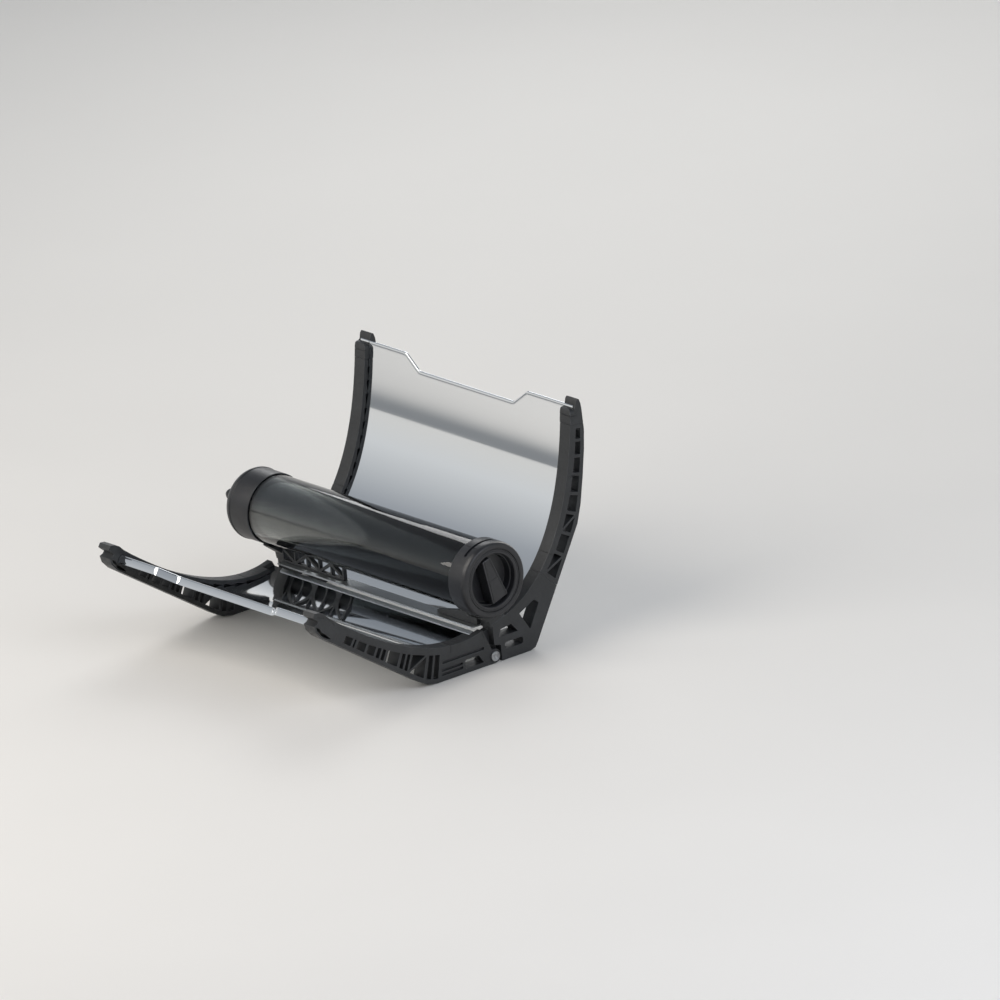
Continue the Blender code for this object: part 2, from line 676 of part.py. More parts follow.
def make_collar(parent, material):
    """The moulded ring round the tube's mouth, with its vent slot."""
    bore = TUBE_RADIUS + SEAT_GAP
    back = HALF_LENGTH - COLLAR_BEHIND
    edge_x = COLLAR_FRONT_X - COLLAR_EDGE
    steps = 5
    round_edge = []
    for i in range(steps + 1):
        turn = pi / 2 * i / steps
        drop = COLLAR_EDGE_DROP * (1 - cos(turn))
        round_edge.append((edge_x + COLLAR_EDGE * sin(turn), COLLAR_RADIUS - drop))
    hole = CAP_FLANGE_RADIUS + RUN_GAP
    seat = MOUTH_X + SEAT_GAP
    profile = [(back, bore), (back, COLLAR_RADIUS - 0.0025), (back + 0.003, COLLAR_RADIUS)] + round_edge
    profile += [(COLLAR_FRONT_X, hole), (seat, hole), (seat, bore)]
    collar = add_object("collar", revolve(profile, closed=True, segments=44), material, parent, smooth=True)
    outline = arc(TUBE_AXIS, COLLAR_RADIUS + VENT_DEPTH, 74, 130, 8)
    outline += arc(TUBE_AXIS, COLLAR_RADIUS - VENT_DEPTH, 130, 74, 8)
    vent = prism([outline], HALF_LENGTH - 0.0010, HALF_LENGTH - 0.0010 + VENT_WIDTH)
    boolean(collar, add_tool("collar_vent_cutter", vent, parent), 'DIFFERENCE')


def make_far_cup(parent, material):
    """The moulded cup over the domed end, with its rim, bead and nipple."""
    bore = TUBE_RADIUS + SEAT_GAP
    radius = bore + CUP_WALL
    depth = DOME_DEPTH + SEAT_GAP
    rim_x = -(HALF_LENGTH - CUP_BEHIND)
    steps = 6
    angles = [pi / 2 * i / steps for i in range(steps)]
    tip_bore = TIP_RADIUS + RUN_GAP
    tip_outer = tip_bore + CUP_TIP_WALL
    inner = [(DOME_X - depth * sin(a), bore * cos(a)) for a in angles]
    inner += [(DOME_X - depth - SEAT_GAP, tip_bore), (CUP_END_X + 0.005, tip_bore), (CUP_END_X + 0.0035, 0)]
    outer = [(DOME_X - (depth + CUP_WALL) * sin(a), radius * cos(a)) for a in angles[1:]]
    outer += [(DOME_X - depth - CUP_WALL, tip_outer + 0.001), (CUP_END_X + 0.007, tip_outer),
              (CUP_END_X + 0.002, tip_outer * 0.75), (CUP_END_X, 0)]
    bead = [(DOME_X + 0.0022, radius), (DOME_X + 0.0012, radius + CUP_BEAD),
            (DOME_X - 0.0006, radius + CUP_BEAD), (DOME_X - 0.0016, radius)]
    profile = list(reversed(inner)) + [(rim_x, bore), (rim_x, radius)] + bead + outer
    add_object("far_end_cup", revolve(profile), material, parent, smooth=True)


def handle_outline(reach):
    """The tapered bar across the recess, seen from the front."""
    corners = []
    for width, side in ((HANDLE_TOP_WIDTH, 1), (HANDLE_FOOT_WIDTH, -1)):
        end = side * sqrt(reach ** 2 - (width / 2) ** 2)
        corners += [(-side * width / 2, end), (side * width / 2, end)]
    turned = []
    for y, z in corners:
        turned.append((TUBE_AXIS_Y + y * cos(HANDLE_TILT) - z * sin(HANDLE_TILT),
                       TUBE_AXIS_Z + y * sin(HANDLE_TILT) + z * cos(HANDLE_TILT)))
    return turned


def make_cap(parent, looks):
    """The recessed cap with its stepped wall, its handle and the gasket behind its flange."""
    gasket_x = MOUTH_X + SEAT_GAP
    back_x = gasket_x + GASKET_THICKNESS
    front_x = back_x + CAP_FLANGE_THICKNESS
    floor_x = front_x - CAP_RECESS_DEPTH
    step_x = front_x - CAP_STEP_DEPTH
    body = ABSORBER_BORE - RUN_GAP
    wide = body - CAP_WALL
    narrow = wide - CAP_STEP_WIDTH
    profile = [(floor_x, 0), (floor_x, narrow - 0.001), (floor_x + 0.001, narrow), (step_x, narrow),
               (step_x, wide), (front_x - 0.0016, wide), (front_x, wide + 0.0008),
               (front_x, CAP_FLANGE_RADIUS - 0.0008), (front_x - 0.0008, CAP_FLANGE_RADIUS),
               (back_x, CAP_FLANGE_RADIUS), (back_x, body), (floor_x - CAP_WALL, body),
               (floor_x - CAP_WALL, 0)]
    add_object("end_cap", revolve(profile, segments=44), looks["black"], parent, smooth=True)
    inside = body + SEAT_GAP
    gasket = [(gasket_x, inside), (back_x - SEAT_GAP, inside), (back_x - SEAT_GAP, CAP_FLANGE_RADIUS),
              (gasket_x, CAP_FLANGE_RADIUS)]
    add_object("cap_gasket", revolve(gasket, closed=True), looks["silicone"], parent, smooth=True)
    outline = handle_outline(narrow - PLUG_CLEARANCE)
    bar = prism([outline], floor_x + SEAT_GAP, front_x - CUP_BEAD)
    handle = add_object("cap_handle", bar, looks["black"], parent)
    bevel = handle.modifiers.new("Edge", 'BEVEL')
    bevel.width = HANDLE_EDGE
    bevel.segments = 2
    return floor_x - CAP_WALL - SEAT_GAP


def make_plug(front, parent, looks):
    """The insulating plug behind the cap, with its wiper seal. Returns where the tray starts."""
    back = front - PLUG_LENGTH
    radius = ABSORBER_BORE - RUN_GAP - PLUG_CLEARANCE
    profile = [(back, 0), (back, radius - 0.001), (back + 0.001, radius), (front, radius), (front, 0)]
    add_object("insulating_plug", revolve(profile), looks["cork"], parent, smooth=True)
    base, lip = radius + SEAT_GAP, ABSORBER_BORE - SEAT_GAP
    wiper = [(back + 0.011, base), (back + 0.012, lip), (back + 0.014, lip), (back + 0.015, base)]
    add_object("plug_wiper_seal", revolve(wiper, closed=True), looks["silicone"], parent, smooth=True)
    return back - SEAT_GAP


def make_tray(front, parent, material):
    """The half-round tray with its end walls, and the two rods inside its rims."""
    back = ABSORBER_END_X + TRAY_END_GAP
    radius = ABSORBER_BORE - TRAY_CLEARANCE
    section = arc(TUBE_AXIS, radius, 180, 360, 16) + arc(TUBE_AXIS, radius - TRAY_WALL, 360, 180, 16)
    tray = add_object("tray", prism([section], back, front), material, parent)
    ends = bmesh.new()
    wall = arc(TUBE_AXIS, radius - TRAY_WALL / 2, 180, 360, 12)
    for x in ((back, back + TRAY_WALL), (front - TRAY_WALL, front)):
        prism([wall], *x, bm=ends)
    boolean(tray, add_tool("tray_ends", ends, parent), 'UNION')
    for side, place in ((-1, "front"), (1, "back")):
        reach = radius - TRAY_WALL - ROD_RADIUS - SEAT_GAP
        centre = (TUBE_AXIS_Y + side * reach, TUBE_AXIS_Z + ROD_RADIUS + SEAT_GAP)
        profile = [(back, 0), (back, ROD_RADIUS), (front, ROD_RADIUS), (front, 0)]
        rod = revolve(profile, segments=10, centre=centre)
        add_object("tray_rod_" + place, rod, material, parent, smooth=True)


def lattice(left, right, low, high, bays=5):
    """The openings of the far arm: each bay keeps one diagonal, and they alternate."""
    holes = []
    pitch = (right - left - ARM_BAR) / bays
    peak, dip = high - ARM_BAR, low + ARM_BAR
    for i in range(bays):
        a = left + ARM_BAR + i * pitch
        b = a + pitch - ARM_BAR
        if i % 2:
            a, b = b, a
        step = ARM_BAR if a < b else -ARM_BAR
        holes += [[(b, peak), (b, dip + ARM_BAR), (a + step, peak)],
                  [(b - step, dip), (a, dip), (a, peak - ARM_BAR)]]
    return holes


def make_spine(looks):
    """The strip under the tube that joins the two brackets, and the arms that stiffen it."""
    edge = FRONT_CURVE.at(0.0, SHEET_OFFSET + SHEET_THICKNESS / 2)
    low = HINGE_Z + hypot(edge[0], edge[1] - HINGE_Z) + STRIP_CLEARANCE
    high = low + STRIP_THICKNESS
    reach = RIB_INNER_X - SEAT_GAP
    back = TUBE_AXIS_Y + 0.008
    strip = box((-reach, reach), (back - STRIP_WIDTH, back), (low, high))
    add_object("spine_strip", strip, looks["aluminium"])
    foot = high + SEAT_GAP
    head = TUBE_AXIS_Z - TUBE_RADIUS - ARM_TUBE_GAP
    web = (TUBE_AXIS_Y - ARM_WIDTH / 2, TUBE_AXIS_Y + ARM_WIDTH / 2)
    far_end = FAR_ARM_LENGTH - reach
    outline = [(-reach, foot), (far_end, foot), (far_end, head), (-reach, head)]
    arm = prism([outline] + lattice(-reach, far_end, foot, head), *web, axis='Y')
    add_object("spine_arm_far", arm, looks["black"])
    near_end = reach - NEAR_ARM_LENGTH
    gusset = [(reach, foot), (reach, head), (near_end, foot + 0.004), (near_end, foot)]
    add_object("spine_arm_near", prism([gusset], *web, axis='Y'), looks["black"])


def hinge_pin(end, material):
    """The headed pin of one end. Its tail is as long as the two lugs are wide."""
    head = HALF_LENGTH + SEAT_GAP
    top = head + PIN_HEAD_HEIGHT
    tail = RIB_INNER_X - 2 * RUN_GAP
    edge = 0.0006
    shaft = [(tail, 0), (tail, PIN_RADIUS - edge), (tail + edge, PIN_RADIUS), (head, PIN_RADIUS)]
    cap = [(head, PIN_HEAD_RADIUS), (top - edge, PIN_HEAD_RADIUS), (top, PIN_HEAD_RADIUS - edge), (top, 0)]
    pin = revolve([(x * end, radius) for x, radius in shaft + cap], segments=20, centre=FOLD_AXIS)
    return add_object("hinge_pin_" + place_of(end), pin, material, smooth=True)


def middle_of_footprint():
    """The middle of the footprint, measured from the fold axis and the trough's middle."""
    front = min(y for y, z in front_tip_outline()[0])
    back = max(y for y, z in BACK_CHORD.points)
    return Vector(((CUP_END_X + COLLAR_FRONT_X) / 2, (front + back) / 2, 0))


def make_empty(name, location):
    empty = bpy.data.objects.new(name, None)
    empty.location = Vector(location) - middle_of_footprint()
    bpy.context.collection.objects.link(empty)
    return empty


def main():
    for obj in list(bpy.data.objects):
        bpy.data.objects.remove(obj, do_unlink=True)
    looks = {
        "black": make_material("glass_filled_nylon", "#1d1e20", 0.55),
        "mirror": make_material("mirror_aluminium", "#d6d9dc", 0.06, 1.0),
        "aluminium": make_material("mill_aluminium", "#b4b8bb", 0.35, 1.0),
        "glass": make_material("borosilicate_glass", "#e8f0ef", 0.03, 0.0, 0.95),
        "absorber": make_material("absorber_coating", "#15171f", 0.30, 0.6),
        "steel": make_material("stainless_steel", "#b9bbbd", 0.25, 1.0),
        "silicone": make_material("silicone", "#8c2f22", 0.60),
        "rubber": make_material("rubber", "#161616", 0.80),
        "cork": make_material("insulating_plug", "#3a3c3e", 0.70),
    }
    fold = make_empty("front_fold", (0.0, 0.0, HINGE_Z))
    tube = make_empty("tube_unit", (0.0, TUBE_AXIS_Y, TUBE_AXIS_Z))
    tray = make_empty("tray_unit", (0.0, TUBE_AXIS_Y, TUBE_AXIS_Z))

    front_slot = add_tool("front_sheet_slot", sheet(FRONT_CURVE, FRONT_HEM_ANGLE, SEAT_GAP), fold)
    back_slot = add_tool("back_sheet_slot", sheet(BACK_CURVE, BACK_HEM_ANGLE, SEAT_GAP))
    add_object("front_reflector", sheet(FRONT_CURVE, FRONT_HEM_ANGLE), looks["mirror"], fold)
    add_object("back_reflector", sheet(BACK_CURVE, BACK_HEM_ANGLE), looks["mirror"])
    for end in (1, -1):
        place = place_of(end)
        front_rib(end, front_slot, looks["black"], fold)
        rib_tip("front_tip_" + place, end, front_tip_outline(), front_slot, looks["black"], fold)
        back_bracket(end, back_slot, looks["black"])
        back_rib(end, back_slot, looks["black"])
        tip = rib_tip("back_tip_" + place, end, back_tip_outline(), back_slot, looks["black"])
        boolean(tip, add_tool(tip.name + "_corner", lip_corner(end)), 'DIFFERENCE')
        saddle_pad(end, looks["rubber"])
        hinge_pin(end, looks["steel"])
    make_spine(looks)
    make_glass(tube, looks)
    make_collar(tube, looks["black"])
    make_far_cup(tube, looks["black"])
    plug_front = make_cap(tray, looks)
    tray_front = make_plug(plug_front, tray, looks)
    make_tray(tray_front, tray, looks["steel"])


if __name__ == "__main__":
    main()
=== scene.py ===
"""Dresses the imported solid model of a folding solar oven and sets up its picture.

The solid model is loaded first and stays the measure of every piece: the fold axis comes from its
hinge, and the tube, collar, cap and cup are turned between the corners of their solids. Each
operator makes one group of like pieces, lets them ride on their body and hides the plain solids
that they stand for. Lengths are in metres, X runs along the tube and Z is up.
"""

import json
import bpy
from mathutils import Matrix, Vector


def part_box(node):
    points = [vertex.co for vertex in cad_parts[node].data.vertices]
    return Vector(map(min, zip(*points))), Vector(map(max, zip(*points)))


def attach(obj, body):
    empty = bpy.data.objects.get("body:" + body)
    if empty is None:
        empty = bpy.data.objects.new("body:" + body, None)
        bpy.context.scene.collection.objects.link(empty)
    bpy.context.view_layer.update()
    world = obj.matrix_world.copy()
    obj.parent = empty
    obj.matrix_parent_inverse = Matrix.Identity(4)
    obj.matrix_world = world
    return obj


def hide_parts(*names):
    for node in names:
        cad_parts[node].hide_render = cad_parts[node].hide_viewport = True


bl_info = {
    "name": "Solar oven dresser",
    "version": (1, 0, 0),
    "blender": (4, 5, 0),
    "location": "3D View > Sidebar > Solar Oven",
    "description": "Gives the solid model of a folding solar oven its finished pieces and materials",
    "category": "Object",
}

from math import cos, pi, radians, sin, sqrt, tan

import bmesh
import bpy
from mathutils import Matrix, Vector

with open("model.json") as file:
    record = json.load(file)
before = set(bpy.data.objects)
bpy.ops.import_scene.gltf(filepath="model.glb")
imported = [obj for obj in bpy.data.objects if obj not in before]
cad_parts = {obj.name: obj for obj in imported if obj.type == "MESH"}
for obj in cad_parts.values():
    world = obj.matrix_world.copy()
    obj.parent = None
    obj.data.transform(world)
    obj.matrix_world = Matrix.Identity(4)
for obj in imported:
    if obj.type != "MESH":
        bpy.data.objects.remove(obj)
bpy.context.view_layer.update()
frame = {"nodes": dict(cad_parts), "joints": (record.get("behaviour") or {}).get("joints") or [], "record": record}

# Places read from the solid model
FOLD_AXIS = Vector(next(j["pos_m"] for j in frame["joints"] if j["name"] == "front_wing_fold"))
GLASS_LOW, GLASS_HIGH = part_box("outer_glass_tube")
TUBE_AXIS = (GLASS_LOW + GLASS_HIGH) / 2
TUBE_RADIUS = (GLASS_HIGH.z - GLASS_LOW.z) / 2
BODY_OF = {
    node: body
    for body, nodes in frame["record"]["behaviour"]["bodies"].items()
    for node in nodes
}

MOULDED_NODES = (
    "front_rib_near", "front_rib_far", "front_tip_near", "front_tip_far",
    "bracket_near", "bracket_far", "back_rib_near", "back_rib_far",
    "back_tip_near", "back_tip_far", "spine_arm_near", "spine_arm_far",
)

# Walls of the tube's pieces, the gap at which neighbours meet, and the two glass domes
GLASS_WALL = 0.0024
ABSORBER_WALL = 0.0020
TRAY_WALL = 0.0008
CUP_WALL = 0.0013
MEETING_GAP = 0.0003
DOME_DEPTH = 0.0220
DOME_GAP = 0.0140

# The sealed tip of the outer glass: its radius, where it leaves the dome, and its outline as (from its
# end, share of its radius)
GLASS_TIP_RADIUS = 0.0050
GLASS_TIP_ROOT = 0.0004
GLASS_TIP = ((0.0040, 0.8), (0.0012, 0.5), (0.0, 0.0))

# The cup over the dome: where its dome starts from the fold axis, the bead round it there, and the
# nipple over the glass tip. The bead is (along X, height, fillet), the nipple's floor and nose are
# (from its end, share of its radius, fillet).
CUP_DOME_X = -0.2430
CUP_BEAD = (
    (0.0024, 0.0, 0.0004), (0.0013, 0.0008, 0.0005), (-0.0006, 0.0008, 0.0005), (-0.0016, 0.0, 0.0004),
)
NIPPLE_BORE = 0.0056
NIPPLE_WALL = 0.0018
NIPPLE_FLARE = 0.0030
NIPPLE_NECK = 0.0042
NIPPLE_FLOOR = ((0.0050, 1.0, 0), (0.0035, 0.0, 0))
NIPPLE_NOSE = ((0.0062, 1.0, 0.0028), (0.0016, 0.62, 0.0022), (0.0, 0.0, 0))

# The collar: its rounded edges as length and drop, the lip round its hole as (depth, from the hole,
# fillet), and the places of its vent slot and parting line
COLLAR_EDGE_LENGTH, COLLAR_EDGE_DROP = 0.0085, 0.0040
COLLAR_BACK_LENGTH, COLLAR_BACK_DROP = 0.0030, 0.0025
COLLAR_LIP = ((0.0, 0.0014, 0.0003), (0.0005, 0.0012, 0.0002), (0.0005, 0.0, 0.0004))
VENT_FROM_BACK = 0.0193
VENT_START, VENT_END = radians(76), radians(128)
PARTING_ANGLE = radians(112)

# The cap: its flange with the groove in its face as (depth, from the rim, fillet), the depths of its
# recess and of the ledge in it, the bevel of its mouth, and the walls round them
CAP_FLANGE = 0.0048
CAP_GROOVE = (
    (0.0, 0.0026, 0.0003), (0.0005, 0.0023, 0.0002), (0.0005, 0.0016, 0.0002), (0.0, 0.0013, 0.0003),
)
RECESS_DEPTH = 0.0200
LEDGE_DEPTH = 0.0090
LEDGE_WIDTH = 0.0016
RECESS_WALL = 0.0018
MOUTH_DEPTH, MOUTH_WIDTH = 0.0016, 0.0010
VACUUM_GAP = 0.0038
CAP_CLEARANCE = 0.0006

# The cap's handle: the widths of its ends, its tilt, its rounded edge, and where its lines end
HANDLE_TOP, HANDLE_FOOT = 0.0130, 0.0260
HANDLE_TILT = radians(17)
HANDLE_EDGE = 0.0003
HANDLE_FROM_WALL = 0.0012
LINE_FROM_END = 0.0016

# A hinge pin as (distance from its tail or from the face of its head, radius), and its clip's place
PIN_TAIL = ((0.0, 0.0), (0.0, 0.0034), (0.0006, 0.0040))
PIN_HEAD = (
    (0.0018, 0.0040), (0.0018, 0.0064), (0.0004, 0.0064), (0.0001, 0.0062), (0.0, 0.0059),
    (0.0001, 0.0056), (0.0012, 0.0054), (0.0012, 0.0022), (0.0005, 0.0019), (0.0004, 0.0),
)
CLIP_FROM_FACE = 0.0007
CLIP_TURN = radians(200)
ROD_EDGE = 0.0003

# Moulding seams, as places in millimetres from the fold axis at which a rib's inner face is crossed,
# and for the front tips as a line on their side face
RIB_SEAMS = {
    "front_rib": ("front", ((-68.0, 41.0), (-18.0, 38.0))),
    "back_rib": ("back", ((85.0, 119.0),)),
    "back_tip": ("back", ((163.0, 275.6),)),
}
TIP_SIDE_SEAM = ((-249.0, 113.0), (-258.0, 124.0), (-273.5, 130.5))

# How far a seam runs down a flange, how far its cutter stands out of it, and how far other cutters
# stand out of what they cut
FLANGE_HEIGHT = 0.0096
FLANGE_REACH = 0.0020
CUT_MARGIN = 0.0010

# Within these distances, points of a solid's copy and of a cut mesh are one
COPY_WELD = 0.000003
CUT_WELD = 0.000002
SHORTEST_EDGE = 0.000001

# What marks the outer edge of a mirror sheet's grid, whose last row stands at 1
ALMOST_ONE = 0.9999


def linear(code):
    """A colour written as sRGB hex, as linear red, green, blue and alpha."""
    values = [int(code[i:i + 2], 16) / 255 for i in (1, 3, 5)]
    return tuple(v / 12.92 if v <= 0.04045 else ((v + 0.055) / 1.055) ** 2.4 for v in values) + (1.0,)


def length_setting(name, description, default, low, high):
    """A length in metres that a user may set."""
    return bpy.props.FloatProperty(
        name=name, description=description, default=default, min=low, max=high,
        subtype='DISTANCE', unit='LENGTH')


def angle_setting(name, description, default, low, high):
    """An angle that a user may set, given here in degrees."""
    return bpy.props.FloatProperty(
        name=name, description=description, default=radians(default), min=radians(low),
        max=radians(high), subtype='ANGLE', unit='ROTATION')


def colour_setting(name, description, code):
    """A colour that a user may set, given here as sRGB hex."""
    return bpy.props.FloatVectorProperty(
        name=name, description=description, size=4, subtype='COLOR', min=0, max=1, default=linear(code))


class OvenSizes(bpy.types.PropertyGroup):
    """Sizes of the dressed pieces, each with its default and limits."""
    edge_radius: length_setting(
        "Moulded edge", "Width of the rounded edge on moulded pieces", 0.0005, 0.0001, 0.0015)
    cut_edge: length_setting(
        "Cut edge", "Width of the broken edge on metal pieces", 0.00025, 0.00005, 0.0010)
    trough_length: length_setting(
        "Sheet length", "Length of both mirror sheets along the tube", 0.428, 0.2, 0.8)
    sheet_thickness: length_setting(
        "Sheet thickness", "Thickness of the mirror sheets", 0.0010, 0.0003, 0.002)
    sheet_depth: length_setting(
        "Sheet depth", "Depth of the sheet's middle below the top of the ribs", 0.0074, 0.001, 0.012)
    hem_height: length_setting(
        "Hem height", "Height of the folded outer hem of a mirror sheet", 0.0085, 0.002, 0.02)
    hem_bend: length_setting(
        "Hem bend", "Length of the sheet in the bend before the hem", 0.0025, 0.0004, 0.006)
    front_hem_angle: angle_setting(
        "Front hem angle", "How far the front sheet's hem is folded away from the tube", 100, 60, 170)
    back_hem_angle: angle_setting(
        "Back hem angle", "How far the back sheet's hem is folded away from the tube", 150, 60, 170)
    notch_depth: length_setting(
        "Notch depth", "How far the sheet's outer edge is cut back in its middle", 0.0190, 0.0, 0.04)
    notch_floor: length_setting(
        "Notch floor", "Length of the straight floor of the notch", 0.1910, 0.05, 0.3)
    notch_slope: length_setting(
        "Notch slope", "Length over which each end of the notch rises", 0.0270, 0.005, 0.06)
    notch_round: bpy.props.FloatProperty(
        name="Notch rounding", description="Rounding of the notch's corners, as a share of its slope",
        default=0.12, min=0.0, max=0.5, subtype='FACTOR')
    seam_width: length_setting(
        "Seam width", "Width of the moulding seams on flanges and collar", 0.0007, 0.0002, 0.002)
    seam_depth: length_setting("Seam depth", "Depth of the moulding seams", 0.0006, 0.0001, 0.001)
    clip_radius: length_setting(
        "Clip radius", "Middle radius of the retaining clip on a hinge pin", 0.0038, 0.002, 0.006)
    clip_gauge: length_setting("Clip gauge", "Width of the clip's flat section", 0.0012, 0.0004, 0.002)
    clip_opening: angle_setting("Clip opening", "Angle left open between the clip's ends", 95, 20, 180)
    boss_radius: length_setting(
        "Boss radius", "Radius of the ring groove round a hinge pin", 0.0084, 0.007, 0.009)
    vent_width: length_setting(
        "Vent width", "Width of the vent slot in the collar's top", 0.0046, 0.002, 0.008)
    vent_depth: length_setting("Vent depth", "Depth of the vent slot", 0.0024, 0.0005, 0.004)
    handle_line: length_setting(
        "Handle line", "Distance of the engraved lines from the handle's long edges", 0.0026, 0.001, 0.005)
    front_focal_length: length_setting(
        "Front focal length", "Focal length of the front sheet's parabola", 0.0559, 0.03, 0.12)
    back_focal_length: length_setting(
        "Back focal length", "Focal length of the back sheet's parabola", 0.0742, 0.03, 0.12)


class OvenColours(bpy.types.PropertyGroup):
    """Colours of the finishes and of the stage."""
    nylon: colour_setting("Nylon", "Glass-filled nylon of the ribs and brackets", "#26282a")
    cap: colour_setting("Cap plastic", "Heat-proof plastic of the collar, cap and cup", "#202124")
    mirror: colour_setting("Mirror sheet", "Polished aluminium of the reflectors", "#e3e6e9")
    aluminium: colour_setting("Aluminium", "Mill-finished aluminium of the strip", "#b7bbbe")
    glass: colour_setting("Glass", "Borosilicate glass of the outer tube", "#f3f8f6")
    coating: colour_setting("Coating", "Dark absorber coating of the inner tube", "#15161c")
    steel: colour_setting("Stainless steel", "Stainless steel of the tray and pins", "#bcbec0")
    silicone: colour_setting("Silicone", "Silicone of the cap's gasket and the plug's wiper", "#7b3327")
    rubber: colour_setting("Rubber", "Rubber of the saddle pads", "#1b1b1b")
    plug: colour_setting("Plug", "Insulating core of the plug", "#6d6a63")
    floor: colour_setting("Floor", "Pale floor of the stage", "#e4e2de")


def sizes():
    return bpy.context.scene.solar_oven_sizes


def colours():
    return bpy.context.scene.solar_oven_colours


# What each finish is made of. A pattern is the socket that it drives, its noise as (scale per metre,
# detail, stretch along X), and what the noise becomes: a bump's (strength, distance), or the stops of
# a ramp as (place, value). On a colour a value is a factor, or sRGB hex. Grain is the noise's roughness.
FINISHES = {
    # Glass-filled nylon from a spark-eroded mould: black and matt, with faint flow streaks. The
    # eroded grain is about 0.1 mm and is drawn 0.7 mm wide, to show at all.
    "moulded_nylon": {"colour": "nylon", "shader": {"Roughness": 0.5}, "patterns": (
        ("Base Color", (38, 4, 0.5), ((0.3, 0.82), (0.55, 1.0), (0.8, 1.35))),
        ("Roughness", (240, 3, 1), ((0.3, 0.43), (0.7, 0.58))),
        ("Normal", (1500, 2, 1), (0.35, 0.00012)),
        ("Normal", (60, 2, 1), (0.10, 0.0006)))},
    # The same nylon on its edges, where handling has rubbed it paler and smoother
    "worn_nylon_edge": {"colour": "nylon", "tint": 2.1, "shader": {"Roughness": 0.38}, "patterns": (
        ("Base Color", (120, 3, 1), ((0.35, 0.55), (0.7, 1.0))),)},
    # Heat-proof phenolic of collar, cap and cup: black and smoother than the ribs, with a faint peel
    "cap_plastic": {"colour": "cap", "shader": {"Roughness": 0.36}, "patterns": (
        ("Base Color", (55, 3, 1), ((0.3, 0.85), (0.75, 1.25))),
        ("Roughness", (180, 4, 1), ((0.3, 0.30), (0.75, 0.44))),
        ("Normal", (900, 2, 1), (0.16, 0.0001)))},
    # The phenolic's edges, where fingers have polished them
    "worn_cap_edge": {"colour": "cap", "tint": 2.2, "shader": {"Roughness": 0.28}, "patterns": (
        ("Base Color", (140, 3, 1), ((0.35, 0.6), (0.7, 1.0))),)},
    # Anodised bright aluminium lighting sheet, whose gloss varies in streaks along its length. Its
    # rolling lines lie about 0.2 mm apart and are drawn 2.5 mm apart, to show at all.
    "mirror_sheet": {"colour": "mirror", "shader": {"Roughness": 0.05, "Metallic": 1.0}, "patterns": (
        ("Roughness", (400, 2, 0.02), ((0.3, 0.035), (0.75, 0.065))),
        ("Normal", (9, 1, 0.6), (0.22, 0.0010)))},
    # Mill-finished aluminium bar. Its drawn lines, about 0.1 mm wide, are made 0.8 mm wide to show.
    "aluminium_strip": {"colour": "aluminium", "shader": {"Roughness": 0.34, "Metallic": 1.0}, "patterns": (
        ("Roughness", (1300, 3, 0.012), ((0.3, 0.34), (0.7, 0.46))),
        ("Base Color", (26, 3, 1), ((0.3, 0.9), (0.7, 1.0))),
        ("Normal", (1300, 3, 0.012), (0.05, 0.00005)))},
    # Clear borosilicate glass, with the faint long draw lines of stock tubing, 22 mm apart
    "borosilicate_glass": {
        "colour": "glass", "shader": {"Roughness": 0.0, "Transmission Weight": 1.0, "IOR": 1.47},
        "patterns": (
            ("Normal", (45, 0, 0.05), (0.03, 0.0006)),)},
    # Sputtered selective coating on the inner tube: a smooth, near black film with a cool sheen
    "absorber_coating": {"colour": "coating", "shader": {"Roughness": 0.14, "Metallic": 0.25}, "patterns": (
        ("Base Color", (16, 3, 0.35), ((0.3, 0.7), (0.6, 1.0), (0.8, "#1e1a20"))),
        ("Roughness", (30, 2, 1), ((0.3, 0.10), (0.7, 0.17))))},
    # Brushed stainless sheet and wire. Its brush lines, about 0.1 mm wide, are made 0.8 mm wide to show.
    "stainless_steel": {"colour": "steel", "shader": {"Roughness": 0.27, "Metallic": 1.0}, "patterns": (
        ("Roughness", (1300, 2, 0.015), ((0.3, 0.26), (0.7, 0.40))),
        ("Base Color", (30, 3, 0.3), ((0.3, 0.88), (0.7, 1.0))),
        ("Normal", (1300, 2, 0.015), (0.05, 0.00005)))},
    # Spring steel of the clip that centres the inner tube, blued a little unevenly by the sealing heat
    "getter_steel": {
        "colour": "steel", "tint": 0.8, "shader": {"Roughness": 0.3, "Metallic": 1.0}, "patterns": (
            ("Base Color", (140, 3, 1), ((0.3, 0.8), (0.7, 1.0))),)},
    # Heat-proof moulded silicone: red-brown and satin, with a fine dust-like mottle
    "silicone": {"colour": "silicone", "shader": {"Roughness": 0.45}, "patterns": (
        ("Base Color", (300, 2, 1), ((0.3, 0.85), (0.7, 1.1))),
        ("Normal", (1200, 2, 1), (0.1, 0.0001)))},
    # Black rubber sheet of the saddle pads: matt, with a fine cloth print
    "rubber_pad": {"colour": "rubber", "shader": {"Roughness": 0.8}, "patterns": (
        ("Base Color", (500, 3, 1), ((0.3, 0.7), (0.7, 1.4))),
        ("Normal", (1800, 2, 1), (0.3, 0.0001)))},
    # Pressed mineral board of the insulating plug: speckled and open-pored
    "plug_core": {"colour": "plug", "grain": 0.7, "shader": {"Roughness": 0.85}, "patterns": (
        ("Base Color", (420, 5, 1), ((0.32, 0.6), (0.5, 1.0), (0.7, 1.3))),
        ("Normal", (700, 4, 1), (0.5, 0.0004)))},
    # Matt painted board of the stage, with a cloudiness that hardly shows
    "studio_floor": {"colour": "floor", "shader": {"Roughness": 0.75}, "patterns": (
        ("Base Color", (3, 2, 1), ((0.3, 0.985), (0.7, 1.0))),)},
}


